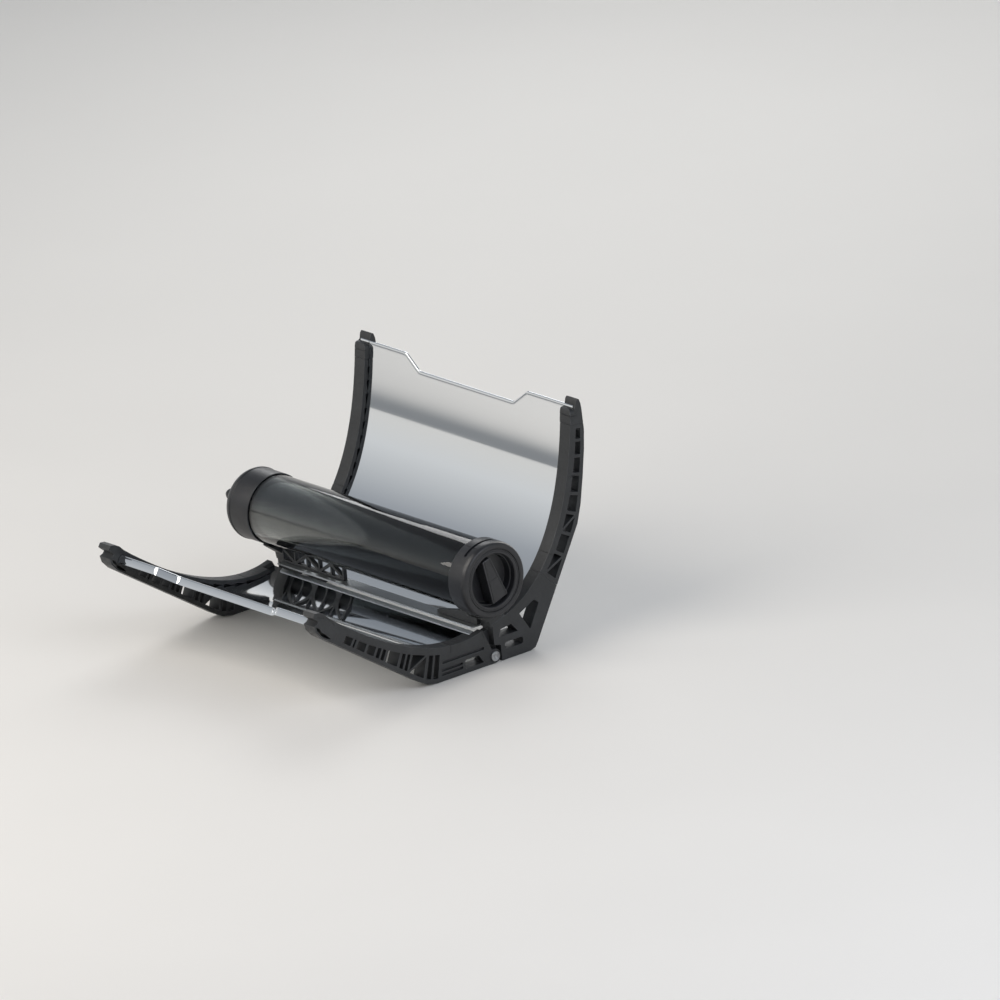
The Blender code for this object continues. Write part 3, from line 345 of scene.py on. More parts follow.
def add_node(tree, kind, values=(), **settings):
    """Adds a node with its settings, and its inputs as (socket, value or link) pairs."""
    node = tree.nodes.new(kind)
    for name, value in settings.items():
        setattr(node, name, value)
    for socket, value in values:
        if isinstance(value, bpy.types.NodeSocket):
            tree.links.new(value, node.inputs[socket])
        else:
            node.inputs[socket].default_value = value
    return node


def set_stops(ramp, stops):
    """Gives a colour ramp its stops of (place, colour)."""
    elements = ramp.color_ramp.elements
    for i, (place, colour) in enumerate(stops):
        element = elements[i] if i < 2 else elements.new(place)
        element.position = place
        element.color = colour


def shade(colour, factor):
    """A linear colour made lighter or darker."""
    return tuple(min(1.0, v * factor) for v in colour[:3]) + (1.0,)


def stop_colour(socket, value, base):
    """What a pattern's stop stands for, as a colour or a grey."""
    if isinstance(value, str):
        return linear(value)
    return shade(base, value) if socket == "Base Color" else (value, value, value, 1.0)


def make_finish(label, colour, shader, patterns, tint=1.0, grain=0.5):
    """A material round its Principled shader, with its patterns in Object coordinates."""
    material = bpy.data.materials.new(label)
    material.use_nodes = True
    tree = material.node_tree
    principled = tree.nodes["Principled BSDF"]
    base = shade(getattr(colours(), colour), tint)
    for socket, value in {"Base Color": base, **shader}.items():
        principled.inputs[socket].default_value = value
    place = add_node(tree, "ShaderNodeTexCoord").outputs["Object"]
    bumped = []
    for socket, (scale, detail, stretch), result in patterns:
        mapped = add_node(tree, "ShaderNodeMapping", [("Vector", place), ("Scale", (stretch, 1, 1))])
        noise = add_node(tree, "ShaderNodeTexNoise", [
            ("Vector", mapped.outputs[0]), ("Scale", scale), ("Detail", detail), ("Roughness", grain)])
        if socket == "Normal":
            made = add_node(tree, "ShaderNodeBump", [
                ("Height", noise.outputs["Fac"]), ("Strength", result[0]), ("Distance", result[1])] + bumped)
            bumped = [("Normal", made.outputs["Normal"])]
        else:
            made = add_node(tree, "ShaderNodeValToRGB", [("Fac", noise.outputs["Fac"])])
            set_stops(made, [(spot, stop_colour(socket, value, base)) for spot, value in result])
        tree.links.new(made.outputs[0], principled.inputs[socket])
    return material


def finish(name):
    """The material of that name, made the first time it is asked for."""
    label = name + "_finish"
    return bpy.data.materials.get(label) or make_finish(label, **FINISHES[name])


def mesh_of(bm, name, outward=True):
    """The plain mesh of a bmesh, which is freed, with its faces turned outwards first."""
    if outward:
        bmesh.ops.recalc_face_normals(bm, faces=bm.faces)
    mesh = bpy.data.meshes.new(name)
    bm.to_mesh(mesh)
    bm.free()
    return mesh


def link_piece(name, mesh, materials):
    piece = bpy.data.objects.new(name, mesh)
    mesh.materials.clear()
    for material in materials:
        mesh.materials.append(finish(material))
    bpy.context.scene.collection.objects.link(piece)
    return piece


def smooth_by_angle(mesh, angle=35):
    mesh.shade_smooth()
    mesh.set_sharp_from_angle(angle=radians(angle))


def even_shading(piece, angle=30):
    """Smooths a piece's rounded edges while its flat faces keep their own direction."""
    smooth_by_angle(piece.data, angle)
    weighted = piece.modifiers.new("Flat faces stay flat", 'WEIGHTED_NORMAL')
    weighted.keep_sharp = True
    weighted.weight = 80
    settled(piece)


def settled(piece):
    """The piece with its modifiers worked into a plain mesh."""
    graph = bpy.context.evaluated_depsgraph_get()
    graph.update()
    mesh = bpy.data.meshes.new_from_object(piece.evaluated_get(graph), depsgraph=graph)
    piece.modifiers.clear()
    piece.data = mesh
    return piece


def seat(piece, node):
    """Lets a piece ride on the body of the solid that it stands for."""
    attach(piece, BODY_OF[node])
    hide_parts(node)
    return piece


def stand_in(name, mesh, slot, node):
    """A mesh as a piece in its slot's finish, seated in place of a solid."""
    return seat(link_piece(name, mesh, [slot]), node)


def dress_node(node, material):
    """Gives a solid of the model that stays its finish."""
    solid = frame["nodes"][node]
    for material_slot in solid.material_slots:
        material_slot.link = 'OBJECT'
        material_slot.material = finish(material)


def merged_copy(node):
    """A mesh of a solid with its loose triangles joined and its flat faces divided afresh."""
    bm = bmesh.new()
    bm.from_mesh(frame["nodes"][node].data)
    bmesh.ops.remove_doubles(bm, verts=bm.verts, dist=COPY_WELD)
    bmesh.ops.dissolve_limit(bm, angle_limit=radians(0.4), verts=bm.verts, edges=bm.edges)
    bmesh.ops.triangulate(bm, faces=bm.faces)
    return mesh_of(bm, node + "_dressed", outward=False)


def soften(piece, width, edge_material=0):
    """Rounds a piece's sharp edges. The rounded faces may have a material of their own."""
    bevel = piece.modifiers.new("Rounded edge", 'BEVEL')
    bevel.width = width
    bevel.segments = 2
    bevel.limit_method = 'ANGLE'
    bevel.angle_limit = radians(35)
    bevel.use_clamp_overlap = False
    bevel.material = edge_material
    return bevel


def softened_node(node, materials, width):
    """A copy of a solid with rounded edges, which stands for it. Its first material is its slot's."""
    piece = link_piece(node + "_dressed", merged_copy(node), materials)
    soften(piece, width, len(materials) - 1)
    settled(piece)
    even_shading(piece)
    return seat(piece, node)


def join_rows(bm, a, b, closed=True):
    """Makes the faces between two rows of points, also from the last back to the first if closed."""
    for i in range(len(a) if closed else len(a) - 1):
        j = (i + 1) % len(a)
        bm.faces.new((a[i], a[j], b[j], b[i]))


def turned_mesh(name, profile, closed=True, segments=144, centre=TUBE_AXIS):
    """Turns a profile of (x, radius) points round the tube's axis, or another one along X."""
    bm = bmesh.new()
    rings = []
    for x, radius in profile:
        if radius < 1e-7:
            rings.append([bm.verts.new((x, centre.y, centre.z))])
            continue
        ring = []
        for i in range(segments):
            angle = 2 * pi * i / segments
            y, z = centre.y + radius * cos(angle), centre.z + radius * sin(angle)
            ring.append(bm.verts.new((x, y, z)))
        rings.append(ring)
    pairs = list(zip(rings, rings[1:]))
    if closed:
        pairs.append((rings[-1], rings[0]))
    for a, b in pairs:
        for i in range(segments):
            j = (i + 1) % segments
            corners = [a[i % len(a)], a[j % len(a)], b[j % len(b)], b[i % len(b)]]
            bm.faces.new(list(dict.fromkeys(corners)))
    mesh = mesh_of(bm, name)
    smooth_by_angle(mesh)
    return mesh


def filleted(corners, steps=3):
    """A profile with round corners. Each corner is (x, radius of turning, radius of fillet)."""
    points = []
    count = len(corners)
    for i, (x, r, fillet) in enumerate(corners):
        here = Vector((x, r))
        before = Vector(corners[i - 1][:2]) - here
        after = Vector(corners[(i + 1) % count][:2]) - here
        if fillet <= 0 or before.length < 1e-9 or after.length < 1e-9:
            points.append((x, r))
            continue
        half = before.angle(after) / 2
        reach = min(fillet / max(tan(half), 1e-3), before.length * 0.45, after.length * 0.45)
        start = here + before.normalized() * reach
        end = here + after.normalized() * reach
        for k in range(steps + 1):
            t = k / steps
            point = start * (1 - t) ** 2 + here * 2 * t * (1 - t) + end * t ** 2
            points.append((point.x, max(point.y, 0.0)))
    return points


def prism_mesh(outlines, low, high):
    """Closed prisms along X between low and high, on outlines of (y, z) points."""
    bm = bmesh.new()
    for outline in outlines:
        start = [bm.verts.new((low, y, z)) for y, z in outline]
        end = [bm.verts.new((high, y, z)) for y, z in outline]
        bm.faces.new(start)
        bm.faces.new(end)
        join_rows(bm, start, end)
    return mesh_of(bm, "cutter")


def ribbon(points, width):
    """The outline of a band of that width along a line of (y, z) points."""
    points = [Vector(point) for point in points]
    sides = ([], [])
    for i, point in enumerate(points):
        along = (points[min(i + 1, len(points) - 1)] - points[max(i - 1, 0)]).normalized()
        across = Vector((-along.y, along.x)) * width / 2
        sides[0].append(point + across)
        sides[1].append(point - across)
    return sides[0] + sides[1][::-1]


def close_gaps(mesh):
    """Joins the points that a cut leaves beside each other, and fills what is still open."""
    bm = bmesh.new()
    bm.from_mesh(mesh)
    bmesh.ops.remove_doubles(bm, verts=bm.verts, dist=CUT_WELD)
    bmesh.ops.dissolve_degenerate(bm, dist=SHORTEST_EDGE, edges=bm.edges)
    open_edges = [edge for edge in bm.edges if len(edge.link_faces) == 1]
    bmesh.ops.holes_fill(bm, edges=open_edges, sides=0)
    bm.to_mesh(mesh)
    bm.free()


def carve(piece, cutter):
    """Takes a cutter's mesh out of a piece."""
    tool = bpy.data.objects.new("cutter", cutter)
    bpy.context.scene.collection.objects.link(tool)
    cut = piece.modifiers.new("Cut", 'BOOLEAN')
    cut.operation = 'DIFFERENCE'
    cut.solver = 'EXACT'
    cut.object = tool
    settled(piece)
    bpy.data.objects.remove(tool)
    close_gaps(piece.data)


def from_fold(point):
    """A point in millimetres from the fold axis, as (y, z) in metres."""
    return Vector((FOLD_AXIS.y + point[0] / 1000, FOLD_AXIS.z + point[1] / 1000))


class Parabola:
    """One reflector's curve in the end plane, as the top line of its ribs' flanges."""

    def __init__(self, focus, vertex, focal_length, first, last):
        self.focus = Vector((FOLD_AXIS.y + focus[0], focus[1]))
        self.axis = Vector((cos(radians(vertex)), sin(radians(vertex))))
        self.across = Vector((-self.axis.y, self.axis.x))
        self.focal_length = focal_length
        self.first = tan(radians(first - vertex) / 2)
        self.last = tan(radians(last - vertex) / 2)
        self.way = 1 if self.last > self.first else -1

    def point(self, t, offset=0.0):
        """The point at t, moved by offset towards the tube."""
        f = self.focal_length
        place = self.focus + self.axis * f * (1 - t * t) + self.across * 2 * f * t
        return place + self.inward(t) * offset

    def inward(self, t):
        return (-self.axis - self.across * t) / sqrt(1 + t * t)

    def nearest(self, point):
        """The value of t at which the curve passes closest to a point."""
        tries = [self.first + (self.last - self.first) * i / 800 for i in range(801)]
        return min(tries, key=lambda t: (self.point(t) - point).length)


def front_curve():
    return Parabola((-0.0287, 0.1036), -66.7, sizes().front_focal_length, -77.5, -187.8)


def back_curve():
    return Parabola((0.0101, 0.1340), -60.1, sizes().back_focal_length, -97.0, 48.6)


class NodeGraph:
    """A geometry node tree being built, with named inputs for its sizes."""

    def __init__(self, name):
        self.tree = bpy.data.node_groups.new(name, 'GeometryNodeTree')
        self.tree.interface.new_socket("Geometry", in_out='OUTPUT', socket_type='NodeSocketGeometry')
        self.inputs = self.tree.nodes.new('NodeGroupInput')
        self.output = self.tree.nodes.new('NodeGroupOutput')

    def size(self, name, value):
        """Adds a named input with its default, and gives back its socket."""
        made = self.tree.interface.new_socket(name, in_out='INPUT', socket_type='NodeSocketFloat')
        made.default_value = value
        return self.inputs.outputs[name]

    def add(self, kind, values=(), **settings):
        return add_node(self.tree, kind, values, **settings)

    def math(self, operation, *values):
        return self.add('ShaderNodeMath', list(enumerate(values)), operation=operation).outputs[0]

    def scaled(self, vector, factor):
        node = self.add('ShaderNodeVectorMath', [(0, vector), ("Scale", factor)], operation='SCALE')
        return node.outputs[0]

    def sum(self, first, *others):
        for other in others:
            first = self.add('ShaderNodeVectorMath', [(0, first), (1, other)], operation='ADD').outputs[0]
        return first

    def close(self, geometry, material):
        real = self.add('GeometryNodeRealizeInstances', [("Geometry", geometry)])
        faced = self.add('GeometryNodeSetMaterial',
                         [("Geometry", real.outputs[0]), ("Material", finish(material))])
        self.tree.links.new(faced.outputs[0], self.output.inputs[0])
        return self.tree


def sheet_tree(name, curve, hem_angle, rows=90, columns=215, bends=6):
    """A mirror sheet on its parabola: a grid bent to the curve, notched and hemmed at its edge.

    The grid's X becomes the place along the tube. Its Y runs from 0 to 1 along the curve, whose t
    ends sooner in the notch. The outer edge is then pulled out in steps that turn, which is the hem.
    """
    graph = NodeGraph(name)
    focal = graph.size("Focal Length", curve.focal_length)
    length = graph.size("Sheet Length", sizes().trough_length)
    depth = graph.size("Sheet Depth", sizes().sheet_depth)
    notch = graph.size("Notch Depth", sizes().notch_depth)
    floor = graph.size("Notch Floor", sizes().notch_floor)
    slope = graph.size("Notch Slope", sizes().notch_slope)
    rounding = graph.size("Notch Rounding", sizes().notch_round)
    hem = graph.size("Hem Height", sizes().hem_height)
    bend = graph.size("Hem Bend", sizes().hem_bend)
    fold = graph.size("Hem Angle", hem_angle)
    axis = (0.0, *curve.axis)
    across = (0.0, *curve.across)
    focus = (0.0, *curve.focus)

    def last_value(x):
        """Where the sheet ends at x, cut back by the notch."""
        beyond = graph.math('SUBTRACT', graph.math('ABSOLUTE', graph.math('SUBTRACT', x, FOLD_AXIS.x)),
                            graph.math('MULTIPLY', floor, 0.5))
        share = graph.math('SUBTRACT', 1.0, graph.math('DIVIDE', beyond, slope))
        share = graph.math('SMOOTH_MIN', share, 1.0, rounding)
        share = graph.math('SMOOTH_MAX', share, 0.0, rounding)
        stretch = graph.math('MULTIPLY', focal, 2 * sqrt(1 + curve.last ** 2))
        back = graph.math('DIVIDE', graph.math('MULTIPLY', share, notch), stretch)
        return graph.math('SUBTRACT', curve.last, graph.math('MULTIPLY', back, float(curve.way)))

    def inward(t):
        size = graph.math('SQRT', graph.math('ADD', 1.0, graph.math('MULTIPLY', t, t)))
        turned = graph.sum(graph.scaled(axis, -1.0), graph.scaled(across, graph.math('MULTIPLY', t, -1.0)))
        return graph.scaled(turned, graph.math('DIVIDE', 1.0, size))

    def along(t):
        size = graph.math('SQRT', graph.math('ADD', 1.0, graph.math('MULTIPLY', t, t)))
        turned = graph.sum(graph.scaled(axis, graph.math('MULTIPLY', t, -1.0)), across)
        return graph.scaled(turned, graph.math('DIVIDE', float(curve.way), size))

    grid = graph.add('GeometryNodeMeshGrid', [("Size X", 1.0), ("Size Y", 1.0),
                                              ("Vertices X", columns), ("Vertices Y", rows)])
    place = graph.add('ShaderNodeSeparateXYZ', [(0, graph.add('GeometryNodeInputPosition').outputs[0])])
    x = graph.math('ADD', graph.math('MULTIPLY', place.outputs[0], length), FOLD_AXIS.x)
    u = graph.math('ADD', place.outputs[1], 0.5)
    last = last_value(x)
    t = graph.math('ADD', curve.first, graph.math('MULTIPLY', u, graph.math('SUBTRACT', last, curve.first)))
    tt = graph.math('MULTIPLY', t, t)
    out = graph.scaled(axis, graph.math('MULTIPLY', focal, graph.math('SUBTRACT', 1.0, tt)))
    over = graph.scaled(across, graph.math('MULTIPLY', graph.math('MULTIPLY', focal, 2.0), t))
    lowered = graph.scaled(inward(t), graph.math('MULTIPLY', depth, -1.0))
    sideways = graph.add('ShaderNodeCombineXYZ', [(0, x)]).outputs[0]
    edge = graph.add('FunctionNodeCompare', [(0, u), (1, ALMOST_ONE)],
                     data_type='FLOAT', operation='GREATER_THAN')
    kept = graph.add('GeometryNodeCaptureAttribute', [("Geometry", grid.outputs["Mesh"])])
    kept.capture_items.new('BOOLEAN', "Outer Edge")
    graph.tree.links.new(edge.outputs[0], kept.inputs["Outer Edge"])
    bent = graph.add('GeometryNodeSetPosition', [
        ("Geometry", kept.outputs["Geometry"]),
        ("Position", graph.sum(sideways, focus, out, over, lowered))])

    mesh, selected = bent.outputs[0], kept.outputs["Outer Edge"]
    bent_place = graph.add('GeometryNodeInputPosition').outputs[0]
    end = last_value(graph.add('ShaderNodeSeparateXYZ', [(0, bent_place)]).outputs[0])
    bend_step = graph.math('DIVIDE', bend, bends)
    for i in range(bends + 1):
        step = hem if i == bends else bend_step
        angle = graph.math('MULTIPLY', fold, (i + 1) / (bends + 1))
        forward = graph.scaled(along(end), graph.math('COSINE', angle))
        outward = graph.scaled(inward(end), graph.math('MULTIPLY', graph.math('SINE', angle), -1.0))
        offset = graph.scaled(graph.sum(forward, outward), step)
        folded = graph.add('GeometryNodeExtrudeMesh', [
            ("Mesh", mesh), ("Selection", selected), ("Offset", offset), ("Offset Scale", 1.0)], mode='EDGES')
        mesh, selected = folded.outputs["Mesh"], folded.outputs["Top"]
    return graph.close(mesh, "mirror_sheet")


class SOLAROVEN_OT_reflectors(bpy.types.Operator):
    """Make both mirror sheets on their parabolas, with the notch and the hem of their outer edge"""
    bl_idname = "solar_oven.reflectors"
    bl_label = "Mirror sheets"

    def execute(self, context):
        sheets = (("front_reflector", front_curve(), sizes().front_hem_angle),
                  ("back_reflector", back_curve(), sizes().back_hem_angle))
        for node, curve, hem_angle in sheets:
            piece = link_piece(node + "_sheet", bpy.data.meshes.new(node + "_sheet"), ["mirror_sheet"])
            nodes = piece.modifiers.new("Sheet", 'NODES')
            nodes.node_group = sheet_tree(node, curve, hem_angle)
            wall = piece.modifiers.new("Thickness", 'SOLIDIFY')
            wall.thickness = sizes().sheet_thickness
            wall.offset = 0.0
            wall.use_even_offset = True
            settled(piece)
            bm = bmesh.new()
            bm.from_mesh(piece.data)
            bmesh.ops.recalc_face_normals(bm, faces=bm.faces)
            bm.to_mesh(piece.data)
            bm.free()
            smooth_by_angle(piece.data, 40)
            seat(piece, node)
        return {'FINISHED'}


def cut_flange_seam(piece, curve, place):
    """A shallow seam across a rib's inner face and down the flange of its outer end face."""
    t = curve.nearest(from_fold(place))
    depth, width = sizes().seam_depth, sizes().seam_width
    low, high = (min(v.co.x for v in piece.data.vertices), max(v.co.x for v in piece.data.vertices))
    face = high if high > FOLD_AXIS.x else low
    across = ribbon([curve.point(t, FLANGE_REACH), curve.point(t, -depth)], width)
    carve(piece, prism_mesh([across], low - depth, high + depth))
    down = ribbon([curve.point(t, FLANGE_REACH), curve.point(t, -FLANGE_HEIGHT)], width)
    carve(piece, prism_mesh([down], face - depth, face + depth))


def cut_seams(piece, node):
    """Cuts the seams that the drawing shows on a rib or tip."""
    kind, end = node.rsplit("_", 1)
    curves = {"front": front_curve(), "back": back_curve()}
    if kind in RIB_SEAMS:
        side, places = RIB_SEAMS[kind]
        for place in places:
            cut_flange_seam(piece, curves[side], place)
    if kind == "front_rib":
        face = max((v.co.x for v in piece.data.vertices), key=lambda x: abs(x - FOLD_AXIS.x))
        outward = sizes().seam_depth if end == "near" else -sizes().seam_depth
        middle, half = sizes().boss_radius, sizes().seam_width / 2
        ring = [(face - outward, middle - half), (face - outward, middle + half),
                (face + outward, middle + half), (face + outward, middle - half)]
        carve(piece, turned_mesh("boss_ring", ring, segments=72, centre=FOLD_AXIS))
    if kind == "front_tip":
        band = ribbon([from_fold(point) for point in TIP_SIDE_SEAM], sizes().seam_width)
        reach = max(abs(v.co.x - FOLD_AXIS.x) for v in piece.data.vertices)
        face = FOLD_AXIS.x + reach * (1 if end == "near" else -1)
        carve(piece, prism_mesh([band], face - sizes().seam_depth, face + sizes().seam_depth))


class SOLAROVEN_OT_ribs(bpy.types.Operator):
    """Round and dress the moulded ribs, brackets, tips and arms"""
    bl_idname = "solar_oven.ribs"
    bl_label = "Moulded ribs and brackets"

    def execute(self, context):
        for node in MOULDED_NODES:
            piece = softened_node(node, ["moulded_nylon", "worn_nylon_edge"], sizes().edge_radius)
            cut_seams(piece, node)
            even_shading(piece)
        return {'FINISHED'}


def clip_tree(ends):
    """The retaining clip of each hinge pin: a ring with an opening, swept with a flat section."""
    graph = NodeGraph("retaining_clips")
    radius = graph.size("Clip Radius", sizes().clip_radius)
    gauge = graph.size("Clip Gauge", sizes().clip_gauge)
    opening = graph.size("Clip Opening", sizes().clip_opening)
    sweep = graph.math('SUBTRACT', 2 * pi, opening)
    start = graph.math('ADD', graph.math('MULTIPLY', opening, 0.5), CLIP_TURN)
    ring = graph.add('GeometryNodeCurveArc', [("Resolution", 48), ("Radius", radius),
                                              ("Start Angle", start), ("Sweep Angle", sweep)])
    section = graph.add('GeometryNodeCurvePrimitiveQuadrilateral',
                        [("Width", gauge), ("Height", graph.math('MULTIPLY', gauge, 0.8))])
    swept = graph.add('GeometryNodeCurveToMesh', [
        ("Curve", ring.outputs["Curve"]), ("Profile Curve", section.outputs["Curve"]), ("Fill Caps", True)])
    joined = graph.add('GeometryNodeJoinGeometry')
    for x in ends:
        place = graph.add('GeometryNodeTransform', [
            ("Geometry", swept.outputs[0]), ("Translation", (x, FOLD_AXIS.y, FOLD_AXIS.z)),
            ("Rotation", (radians(90), 0.0, radians(90)))])
        graph.tree.links.new(place.outputs[0], joined.inputs[0])
    return graph.close(joined.outputs[0], "stainless_steel")


def pin_profile(node):
    """A shouldered pin whose head has a rim and a raised middle, and the place of its clip."""
    low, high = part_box(node)
    way = 1 if high.x > FOLD_AXIS.x else -1
    face, tail = (high.x, low.x) if way > 0 else (low.x, high.x)
    points = [(tail + way * x, radius) for x, radius in PIN_TAIL]
    points += [(face - way * x, radius) for x, radius in PIN_HEAD]
    return points, face - way * CLIP_FROM_FACE


def tray_mesh():
    """A half-round tray bent from one sheet, open at the top, with both ends closed."""
    low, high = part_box("tray")
    radius = (high.y - low.y) / 2
    bm = bmesh.new()
    rows = []
    for inset in (0.0, TRAY_WALL):
        for x in (low.x + inset, high.x - inset):
            angles = [pi + pi * i / 56 for i in range(57)]
            rows.append([bm.verts.new((x, TUBE_AXIS.y + (radius - inset) * cos(a),
                                       high.z + (radius - inset) * sin(a))) for a in angles])
    join_rows(bm, rows[0], rows[1], closed=False)
    join_rows(bm, rows[2], rows[3], closed=False)
    for row in rows:
        bm.faces.new(row)
    outer = [rows[0][0], rows[1][0], rows[1][-1], rows[0][-1]]
    inner = [rows[2][0], rows[3][0], rows[3][-1], rows[2][-1]]
    join_rows(bm, outer, inner)
    mesh = mesh_of(bm, "tray")
    smooth_by_angle(mesh)
    return mesh


class SOLAROVEN_OT_metal_parts(bpy.types.Operator):
    """Dress the strip and the tray, and turn the hinge pins with their retaining clips"""
    bl_idname = "solar_oven.metal_parts"
    bl_label = "Strip, pins and tray"

    def execute(self, context):
        softened_node("spine_strip", ["aluminium_strip"], sizes().cut_edge)
        faces = []
        for node in ("hinge_pin_near", "hinge_pin_far"):
            profile, face = pin_profile(node)
            pin = turned_mesh(node, profile, closed=False, segments=64, centre=FOLD_AXIS)
            stand_in(node + "_turned", pin, "stainless_steel", node)
            faces.append(face)
        clips = link_piece("pin_clips", bpy.data.meshes.new("pin_clips"), ["stainless_steel"])
        clips.modifiers.new("Clips", 'NODES').node_group = clip_tree(faces)
        settled(clips)
        smooth_by_angle(clips.data)
        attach(clips, "stand")
        stand_in("tray_bent", tray_mesh(), "stainless_steel", "tray")
        for node in ("tray_rod_front", "tray_rod_back"):
            low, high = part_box(node)
            radius = (high.z - low.z) / 2
            profile = [(low.x, 0.0), (low.x, radius - ROD_EDGE), (low.x + ROD_EDGE, radius),
                       (high.x - ROD_EDGE, radius), (high.x, radius - ROD_EDGE), (high.x, 0.0)]
            rod = turned_mesh(node, profile, closed=False, segments=32, centre=(low + high) / 2)
            stand_in(node + "_turned", rod, "stainless_steel", node)
        dress_node("getter_spring", "getter_steel")
        return {'FINISHED'}


class SOLAROVEN_OT_soft_parts(bpy.types.Operator):
    """Dress the pads, the plug and its wiper"""
    bl_idname = "solar_oven.soft_parts"
    bl_label = "Pads and plug"

    def execute(self, context):
        for node in ("saddle_pad_near", "saddle_pad_far"):
            dress_node(node, "rubber_pad")
        softened_node("insulating_plug", ["plug_core"], sizes().edge_radius)
        for node in ("plug_wiper_seal", "cap_gasket"):
            dress_node(node, "silicone")
        return {'FINISHED'}


def domed_shell(mouth_x, end_x, radius, wall, dome, tip=None, steps=18):
    """Profile of a tube with an open, fire-rounded mouth and a domed end at -X."""
    dome_x = end_x + dome
    angles = [pi / 2 * i / steps for i in range(steps + 1)]
    outer = [(dome_x - dome * sin(a), radius * cos(a)) for a in angles]
    inner = [(dome_x - (dome - wall) * sin(a), (radius - wall) * cos(a)) for a in reversed(angles)]
    outer[-1] = (outer[-1][0], 0.0)
    inner[0] = (inner[0][0], 0.0)
    if tip:
        tip_radius, tip_x = tip
        outer[-2:] = [(end_x + GLASS_TIP_ROOT, tip_radius)]
        outer += [(tip_x + x, tip_radius * share) for x, share in GLASS_TIP]
    middle = radius - wall / 2
    lip = [(mouth_x - wall / 2 + wall / 2 * cos(a), middle + wall / 2 * sin(a))
           for a in [pi * (i / 8 - 0.5) for i in range(9)]]
    return inner + lip + outer


class SOLAROVEN_OT_glass_tube(bpy.types.Operator):
    """Turn the evacuated tube: the clear outer glass, the coated inner tube and their fused mouth"""
    bl_idname = "solar_oven.glass_tube"
    bl_label = "Evacuated tube"

    def execute(self, context):
        inner_low, inner_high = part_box("absorber_tube")
        inner_radius = (inner_high.z - inner_low.z) / 2
        profile = domed_shell(GLASS_HIGH.x, inner_low.x - DOME_GAP, TUBE_RADIUS, GLASS_WALL, DOME_DEPTH,
                              (GLASS_TIP_RADIUS, GLASS_LOW.x))
        stand_in("outer_glass_dressed", turned_mesh("outer_glass", profile, closed=False),
                 "borosilicate_glass", "outer_glass_tube")
        profile = domed_shell(inner_high.x, inner_low.x, inner_radius, ABSORBER_WALL,
                              DOME_DEPTH - ABSORBER_WALL)
        stand_in("absorber_dressed", turned_mesh("absorber", profile, closed=False),
                 "absorber_coating", "absorber_tube")
        dress_node("mouth_seal_ring", "borosilicate_glass")
        return {'FINISHED'}


def slot_cutter(radius, x, width, depth, start, end, steps=40, fan=10):
    """A slot with round ends, bent round the collar: low and high copies of its outline, joined."""
    half, swing = width / 2, width / 2 / radius
    rounds = [pi * i / fan for i in range(1, fan)]
    sweep = [start + (end - start) * i / steps for i in range(steps + 1)]
    outline = [(x + half, a) for a in sweep]
    outline += [(x + half * cos(a), end + swing * sin(a)) for a in rounds]
    outline += [(x - half, a) for a in reversed(sweep)]
    outline += [(x - half * cos(a), start - swing * sin(a)) for a in rounds]
    bm = bmesh.new()
    rings = [[bm.verts.new((px, TUBE_AXIS.y + r * cos(a), TUBE_AXIS.z + r * sin(a))) for px, a in outline]
             for r in (radius - depth, radius + depth)]
    join_rows(bm, *rings)
    # The two long sides are joined across the slot, and each round end is closed with one face
    last = 2 * steps + fan
    for ring in rings:
        for k in range(steps):
            bm.faces.new((ring[k], ring[k + 1], ring[last - k - 1], ring[last - k]))
        bm.faces.new([ring[steps + i] for i in range(fan + 1)])
        bm.faces.new([ring[(last + i) % len(ring)] for i in range(fan + 1)])
    return mesh_of(bm, "slot_cutter")


class SOLAROVEN_OT_collar(bpy.types.Operator):
    """Turn the collar at the tube's mouth, with its vent slot and parting line"""
    bl_idname = "solar_oven.collar"
    bl_label = "Collar"

    def execute(self, context):
        low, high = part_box("collar")
        radius = (high.z - low.z) / 2
        bore = TUBE_RADIUS + MEETING_GAP
        cap_low, cap_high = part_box("end_cap")
        hole = (cap_high.z - cap_low.z) / 2 + 2 * MEETING_GAP
        front_radius = radius - COLLAR_EDGE_DROP
        edge_x = high.x - COLLAR_EDGE_LENGTH
        barrel = [(edge_x + COLLAR_EDGE_LENGTH * sin(a), front_radius + COLLAR_EDGE_DROP * cos(a), 0)
                  for a in [pi / 2 * i / 12 for i in range(12)]]
        corners = [(low.x, bore, 0.0003), (low.x, radius - COLLAR_BACK_DROP, 0.0006),
                   (low.x + COLLAR_BACK_LENGTH, radius, 0.0012)]
        corners += barrel + [(high.x, front_radius, 0.0008)]
        corners += [(high.x - depth, hole + out, fillet) for depth, out, fillet in COLLAR_LIP]
        corners += [(GLASS_HIGH.x + MEETING_GAP, hole, 0), (GLASS_HIGH.x + MEETING_GAP, bore, 0)]
        piece = link_piece("collar_dressed", turned_mesh("collar", filleted(corners)), ["cap_plastic"])
        carve(piece, slot_cutter(radius, low.x + VENT_FROM_BACK, sizes().vent_width, sizes().vent_depth,
                                 VENT_START, VENT_END))
        outward = Vector((cos(PARTING_ANGLE), sin(PARTING_ANGLE)))
        axis = Vector((TUBE_AXIS.y, TUBE_AXIS.z))
        line = [axis + outward * reach for reach in (radius - sizes().seam_depth, radius + CUT_MARGIN)]
        band = ribbon(line, sizes().seam_width)
        carve(piece, prism_mesh([band], low.x - CUT_MARGIN, high.x + CUT_MARGIN))
        smooth_by_angle(piece.data, 32)
        seat(piece, "collar")
        return {'FINISHED'}


